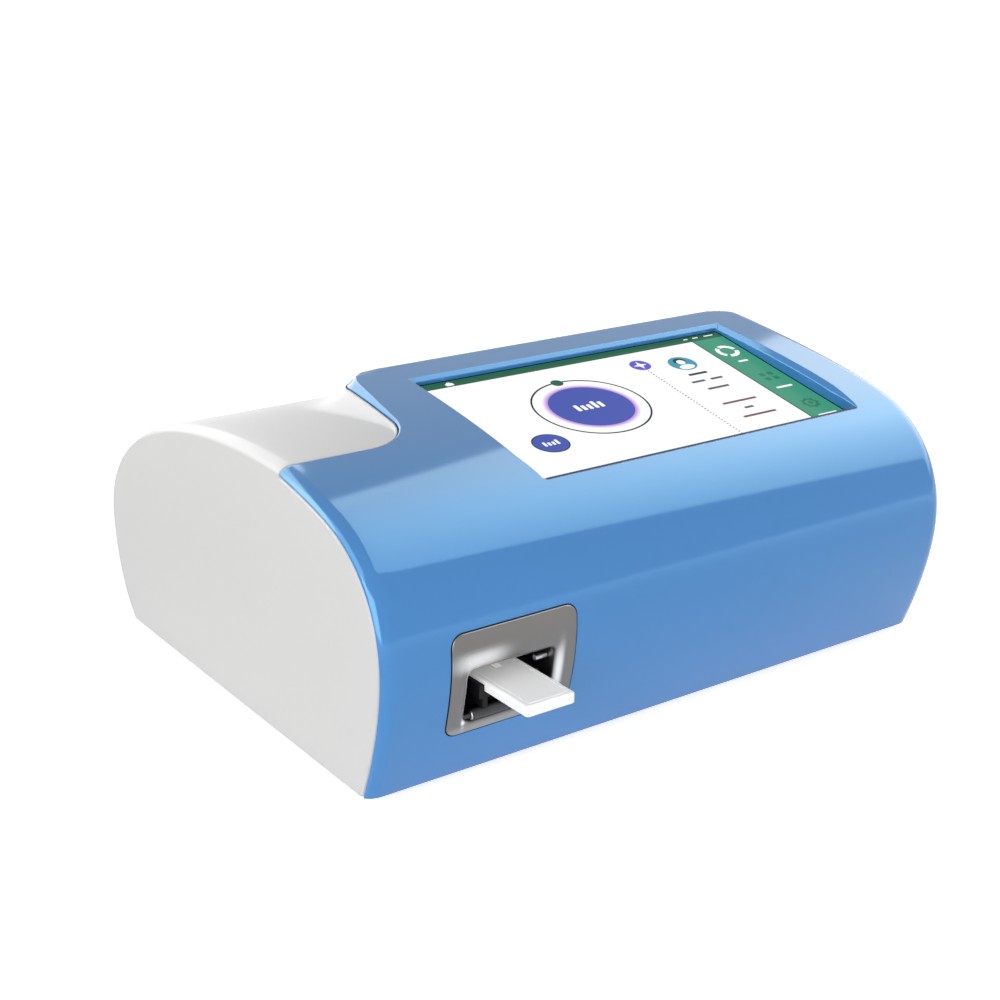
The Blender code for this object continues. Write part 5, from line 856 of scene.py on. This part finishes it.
def even(outline, count=SIDE_STEPS):
    """A round-cornered outline with its four straight sides divided into equal steps."""
    quarter = len(outline) // 4
    points = []
    for k in range(4):
        points += outline[k * quarter:(k + 1) * quarter]
        a, b = outline[(k + 1) * quarter - 1]
        c, d = outline[((k + 1) * quarter) % len(outline)]
        points += [(a + (c - a) * i / count, b + (d - b) * i / count) for i in range(1, count)]
    return points


def make_slot_plate():
    """Satin slot plate, drawn inwards round the mouth into a short duct, as one closed skin."""
    front = -PLATE_PROUD
    back = PLATE_THICKNESS - PLATE_PROUD
    rings = [(even(plate_outline(0.0)), back)]
    for turn in np.linspace(0, math.pi / 2, EDGE_STEPS):
        ring = even(plate_outline(PLATE_EDGE * (1 - math.cos(turn))))
        rings.append((ring, front + PLATE_EDGE * (1 - math.sin(turn))))
    outer = np.array(even(plate_outline(PLATE_EDGE)))
    inner = np.array(even(mouth_outline(FUNNEL_WIDTH, FUNNEL_WIDTH * FUNNEL_HEIGHT_SHARE)))
    for share in np.linspace(0, 1, FACE_STEPS)[1:-1]:
        rings.append(([tuple(point) for point in outer + share * (inner - outer)], front))
    for turn in np.linspace(0, math.pi / 2, FUNNEL_STEPS):
        grow = FUNNEL_WIDTH * (1 - math.sin(turn))
        ring = even(mouth_outline(grow, grow * FUNNEL_HEIGHT_SHARE))
        rings.append((ring, front + FUNNEL_DEPTH * (1 - math.cos(turn))))
    laid = [[(x, front_depth(z) + sink, z) for x, z in ring] for ring, sink in rings]
    for grow in (0.0, MOUTH_WALL):
        laid.append([(x, MOUTH_REAR, z) for x, z in even(mouth_outline(grow, grow))])
    laid.append([(x, front_depth(z) + back, z) for x, z in even(mouth_outline(MOUTH_WALL, MOUTH_WALL))])
    plate = loft(laid, "plate", closed=True)
    for face in plate.data.polygons:
        face.use_smooth = True
    # Painted highlight at each point: a share that brightens the plate's colour where light glints
    painted_highlight = plate.data.attributes.new("painted_highlight", "FLOAT", "POINT")
    for point, vertex in zip(painted_highlight.data, plate.data.vertices):
        point.value = painted_highlight_at(vertex.co.x, vertex.co.z)
    hang(plate, "slot_plate", plate_finish(), "analyzer", "slot_metal", "slot_bezel")


def plate_finish():
    """Satin metal with painted highlights: brighter places laid into its colour where light glints."""
    nodes = SATIN.node_tree.nodes
    links = SATIN.node_tree.links
    shader = nodes["Principled BSDF"]
    place = nodes.new("ShaderNodeAttribute")
    place.attribute_name = "painted_highlight"
    bright = nodes.new("ShaderNodeMix")
    bright.data_type = "RGBA"
    links.new(place.outputs["Fac"], bright.inputs["Factor"])
    links.new(shader.inputs["Base Color"].links[0].from_socket, bright.inputs["A"])
    bright.inputs["B"].default_value = (*PAINTED_HIGHLIGHT_COLOUR, 1)
    links.new(bright.outputs["Result"], shader.inputs["Base Color"])
    return SATIN


def make_roller_caps():
    """Bright rings at the two ends of the card roller."""
    rings = []
    for side in (-1, 1):
        turned = []
        for turn in np.linspace(0, 2 * math.pi, CAP_STEPS, endpoint=False):
            turned.append([(SLOT_CENTRE + side * (ROLLER_LENGTH / 2 + share * CAP_WIDTH),
                            ROLLER_PLACE[0] + r * math.cos(turn), ROLLER_PLACE[1] + r * math.sin(turn))
                           for share, r in CAP_PROFILE])
        rings.append(loft(turned, "cap", closed=True))
    caps = gather(rings, "caps")
    for face in caps.data.polygons:
        face.use_smooth = True
    hang(caps, "roller_caps", STEEL, "roller", "steel")


def make_cassette_lid():
    """The test cassette's upper shell: rounded rim, a fine line inside it, strip window and sample well."""
    low, high = CASSETTE_LID
    near = -FRONT_BULGE - CASSETTE_REACH

    def outline(inset):
        """The lid's outline, moved inwards."""
        half = CASSETTE_WIDTH / 2 - inset
        return rounded(SLOT_CENTRE - half, SLOT_CENTRE + half, near + inset, near + CASSETTE_LENGTH - inset,
                       max(CASSETTE_CORNER - inset, CASSETTE_CORNER / 4))

    profile = [(0.0, low)]
    for turn in np.linspace(0, math.pi / 2, EDGE_STEPS):
        profile.append((CASSETTE_EDGE * (1 - math.cos(turn)), high - CASSETTE_EDGE * (1 - math.sin(turn))))
    profile += [(RIM_LINE_PLACE + share * RIM_LINE_WIDTH, high - sunk * RIM_LINE_DEPTH)
                for share, sunk in RIM_LINE_SHAPE]
    lid = loft([[(x, y, z) for x, y in outline(inset)] for inset, z in profile], "lid")
    wide = STRIP_WINDOW_WIDTH
    middle = near + STRIP_WINDOW_PLACE
    window = rounded(SLOT_CENTRE - wide / 2, SLOT_CENTRE + wide / 2, middle - STRIP_WINDOW_LENGTH / 2,
                     middle + STRIP_WINDOW_LENGTH / 2, wide / 3)
    boolean(lid, "DIFFERENCE", slab(window, low - OVERRUN, high + OVERRUN, "XY", "window"))
    narrow, broad = WELL_RADII
    rings = []
    for r, z in ((narrow, low - MM), (narrow, low), (broad, high), (broad, high + MM)):
        rings.append([(SLOT_CENTRE + u, near + WELL_PLACE + v, z) for u, v in ellipse(0, 0, r, r)])
    boolean(lid, "DIFFERENCE", loft(rings, "well"))
    hang(lid, "cassette_lid", CARD, "cassette", "cassette_plastic", "cassette_cover")


def lit_finish(name, colour):
    """A screen colour: it glows by itself under a smooth, dark and faintly glossy surface."""
    made = finish(name, colour, 0.22, grain=(0.0003, 0.0000005), mottle=0.02, edge=0.0, glow=1.0)
    shader = made.node_tree.nodes["Principled BSDF"]
    made.node_tree.links.remove(shader.inputs["Base Color"].links[0])
    shader.inputs["Base Color"].default_value = (*SCREEN_BASE, 1)
    shader.inputs["IOR"].default_value = SCREEN_IOR
    return made


def halo_finish(colour):
    """White that turns into a colour towards the large button: the glow round it."""
    made = lit_finish("screen_halo", SCREEN_COLOURS["white"])
    nodes = made.node_tree.nodes
    links = made.node_tree.links
    u, v, wide, high = (value * MM for value in HALO)
    centre = HOME @ DISPLAY @ Vector((u, v, 0))
    tilt = DISPLAY.to_euler().x
    place = next(node for node in nodes if node.type == "TEX_COORD")
    away = nodes.new("ShaderNodeVectorMath")
    away.operation = "SUBTRACT"
    away.inputs[1].default_value = centre
    links.new(place.outputs["Object"], away.inputs[0])
    shares = nodes.new("ShaderNodeVectorMath")
    shares.operation = "MULTIPLY"
    shares.inputs[1].default_value = (1 / wide, 1 / (high * math.cos(tilt)), 0)
    links.new(away.outputs["Vector"], shares.inputs[0])
    reach = nodes.new("ShaderNodeVectorMath")
    reach.operation = "LENGTH"
    links.new(shares.outputs["Vector"], reach.inputs[0])
    fade = nodes.new("ShaderNodeMapRange")
    fade.inputs["From Min"].default_value = HALO_FADE[0]
    fade.inputs["From Max"].default_value = HALO_FADE[1]
    links.new(reach.outputs["Value"], fade.inputs["Value"])
    glow = nodes.new("ShaderNodeMix")
    glow.data_type = "RGBA"
    glow.inputs["A"].default_value = (*colour, 1)
    glow.inputs["B"].default_value = (1, 1, 1, 1)
    links.new(fade.outputs["Result"], glow.inputs["Factor"])
    links.new(glow.outputs["Result"], nodes["Principled BSDF"].inputs["Emission Color"])
    return made


def make_screen():
    """The lit screen: thin coloured shapes in layers on the glass, one piece for each colour."""
    shapes = {colour: [] for colour in SCREEN_COLOURS}

    def lay(colour, layer, outline):
        """Add a flat shape to its colour's piece."""
        points = [(a * MM, b * MM) for a, b in outline]
        shapes[colour].append(slab(points, (layer - LAYER_THICKNESS) * LAYER, layer * LAYER, "XY", "shape"))

    def box(colour, layer, u, v, wide, high, corner):
        """Add a rectangle, with round corners where it has a corner radius."""
        left, right, low, high = u - wide / 2, u + wide / 2, v - high / 2, v + high / 2
        if corner:
            lay(colour, layer, rounded(left, right, low, high, corner, SCREEN_CORNER_STEPS))
        else:
            lay(colour, layer, [(left, low), (right, low), (right, high), (left, high)])

    for row in SCREEN_BOXES:
        box(*row)
    u, low, high, pitch, size = DOT_RUN
    for v in np.arange(low, high, pitch):
        box("grey", 2, u, v, size, size, size / 3)
    for colour, layer, u, v, wide, high in SCREEN_DISCS:
        lay(colour, layer, ellipse(u, v, wide, high))
    for colour, layer, u, v, wide, high, line, start, end in SCREEN_RINGS:
        rings = []
        foot = layer - LAYER_THICKNESS
        out = line / 2
        section = ((-out, foot), (out, foot), (out, layer), (-out, layer))
        for a in np.radians(np.arange(start, end + (end - start < 360), RING_STEP)):
            rings.append([((u + (wide + step) * math.cos(a)) * MM, (v + (high + step) * math.sin(a)) * MM,
                           level * LAYER) for step, level in section])
        shapes[colour].append(loft(rings, "ring", closed=end - start == 360))
    for colour, layer, u, v, size, count, share in SCREEN_STARS:
        turns = [(math.pi * i / count, size * (share if i % 2 else 1)) for i in range(2 * count)]
        lay(colour, layer, [(u + r * math.cos(a), v + r * math.sin(a)) for a, r in turns])
    for colour, layer, u, v, wide, high, count in SCREEN_BARS:
        pitch = wide / count
        for i in range(count):
            tall = high * BAR_HEIGHTS[i]
            box(colour, layer, u + (i - (count - 1) / 2) * pitch, v + (tall - high) / 2,
                pitch * BAR_WIDTH_SHARE, tall, pitch * BAR_CORNER_SHARE)
    for colour, parts in shapes.items():
        name = "screen_" + colour
        piece = gather(parts, colour)
        piece.data.transform(DISPLAY)
        hang(piece, name, lit_finish(name, SCREEN_COLOURS[colour]), "analyzer", "display_panel")
    low, high = (LAYER * level for level in HALO_LAYERS)
    halo = slab([(a * MM, b * MM) for a, b in ellipse(*HALO)], low, high, "XY", "halo")
    halo.data.transform(DISPLAY)
    hang(halo, "screen_halo", halo_finish(HALO_COLOUR), "analyzer", "display_panel")


def skin_level(v):
    """How far the skin stands over the display's plane at a place along the display, by repeated steps."""
    level = WINDOW_SINKS[0]
    for _ in range(LEVEL_ROUNDS):
        place = DISPLAY @ Vector((0, v, level))
        level += skin_height(place.y) - place.z
    return level


def make_window_shade_seal():
    """A thin dark seal on the window's front wall, a hair below the skin: painted shade, a dark strip that
    stands in for the shade along the window's front lip.
    """
    front = -WINDOW_LENGTH / 2
    back = front + SHADE_SEAL_WIDTH
    outline = [(front, 0.0), (back, 0.0), (back, skin_level(back) - SHADE_SEAL_SINK),
               (front, skin_level(front) - SHADE_SEAL_SINK)]
    half = (WINDOW_WIDTH - WINDOW_CORNER) / 2
    shade_seal = loft([[(u, v, w) for v, w in outline] for u in (-half, half)], "shade_seal")
    shade_seal.data.transform(DISPLAY)
    hang(shade_seal, "window_shade_seal", SHADE_SEAL, "analyzer", "display_panel")


# Stage


def make_floor():
    """Pale floor: it keeps the shadow near the object, and further off it is white to the eye and gloss."""
    half = FLOOR_SIZE / 2
    floor = loft([[(x, y, z) for x, y in ((-half, -half), (half, -half), (half, half), (-half, half))]
                  for z in (-FLOOR_THICKNESS, 0.0)], "floor")
    made = finish("floor", FLOOR_COLOUR, 0.9, grain=(0.01, 0.00001), mottle=0.0, edge=0.0)
    nodes = made.node_tree.nodes
    links = made.node_tree.links
    shader = nodes["Principled BSDF"]
    shader.inputs["Specular IOR Level"].default_value = 0.0
    place = next(node for node in nodes if node.type == "TEX_COORD")
    far = nodes.new("ShaderNodeVectorMath")
    far.operation = "LENGTH"
    links.new(place.outputs["Object"], far.inputs[0])
    level = nodes.new("ShaderNodeMapRange")
    level.interpolation_type = "SMOOTHSTEP"
    for key, value in zip(("From Min", "From Max", "To Min", "To Max"), FLOOR_FADE + FLOOR_GLOWS):
        level.inputs[key].default_value = value
    links.new(far.outputs["Value"], level.inputs["Value"])
    lit = nodes.new("ShaderNodeMath")
    lit.operation = "MULTIPLY"
    links.new(level.outputs["Result"], lit.inputs[1])
    links.new(seen_by_eye(nodes, links), lit.inputs[0])
    shader.inputs["Emission Color"].default_value = (1, 1, 1, 1)
    links.new(lit.outputs["Value"], shader.inputs["Emission Strength"])
    floor.data.materials.append(made)


def seen_by_eye(nodes, links):
    """1 for rays from the camera, off shiny things or through glass, 0 for the others."""
    path = nodes.new("ShaderNodeLightPath")
    seen = path.outputs["Is Camera Ray"]
    for name in ("Is Glossy Ray", "Is Transmission Ray"):
        both = nodes.new("ShaderNodeMath")
        both.operation = "MAXIMUM"
        links.new(seen, both.inputs[0])
        links.new(path.outputs[name], both.inputs[1])
        seen = both.outputs["Value"]
    return seen


def make_world():
    """White to the camera and to shiny things, a soft grey light for the rest."""
    world = bpy.data.worlds.new("studio")
    bpy.context.scene.world = world
    world.use_nodes = True
    nodes = world.node_tree.nodes
    links = world.node_tree.links
    back = nodes["Background"]
    back.inputs["Color"].default_value = (1, 1, 1, 1)
    level = nodes.new("ShaderNodeMapRange")
    level.inputs["To Min"].default_value = WORLD_LIGHT
    level.inputs["To Max"].default_value = 1.0
    links.new(seen_by_eye(nodes, links), level.inputs["Value"])
    links.new(level.outputs["Result"], back.inputs["Strength"])


def lamp(name, turn, rise, distance, width, height, radiance, lights, shines, edge):
    """A soft box that looks at the object.

    Turn is its azimuth from the front and rise its elevation. Lights says if it lights matt surfaces, shines
    if it shows in glossy ones, and edge is the share of its radiance that is left at its edge.
    """
    light = bpy.data.lights.new(name, "AREA")
    light.shape = "RECTANGLE"
    light.size = width
    light.size_y = height
    light.energy = radiance * math.pi * width * height
    made = thing(light, name)
    turn = math.radians(turn)
    rise = math.radians(rise)
    aim = Vector((math.sin(turn) * math.cos(rise), -math.cos(turn) * math.cos(rise), math.sin(rise)))
    made.location = aim * distance + Vector((0, 0, LAMP_AIM))
    light.use_nodes = True
    nodes = light.node_tree.nodes
    links = light.node_tree.links
    place = nodes.new("ShaderNodeNewGeometry")
    reach = nodes.new("ShaderNodeVectorMath")
    reach.operation = "DISTANCE"
    reach.inputs[1].default_value = made.location
    links.new(place.outputs["Position"], reach.inputs[0])
    level = nodes.new("ShaderNodeMapRange")
    level.inputs["From Max"].default_value = width / 2
    level.inputs["To Min"].default_value = 1.0
    level.inputs["To Max"].default_value = edge
    links.new(reach.outputs["Value"], level.inputs["Value"])
    links.new(level.outputs["Result"], nodes["Emission"].inputs["Strength"])
    made.rotation_euler = (-aim).to_track_quat("-Z", "Y").to_euler()
    made.visible_diffuse = lights
    made.visible_glossy = shines


def make_view():
    """The camera that the photograph was solved to."""
    lens = bpy.data.cameras.new("view")
    lens.lens = CAMERA_LENS
    lens.sensor_width = CAMERA_SENSOR
    eye = thing(lens, "view")
    eye.location = CAMERA_PLACE
    eye.rotation_euler = [math.radians(angle) for angle in CAMERA_TURN]
    bpy.context.scene.camera = eye


dress_nodes()
make_shells()
make_slot_plate()
make_roller_caps()
make_cassette_lid()
make_screen()
make_window_shade_seal()
make_floor()
make_world()
for settings in LAMPS:
    lamp(*settings)
make_view()
bpy.context.scene.view_settings.view_transform = "Standard"
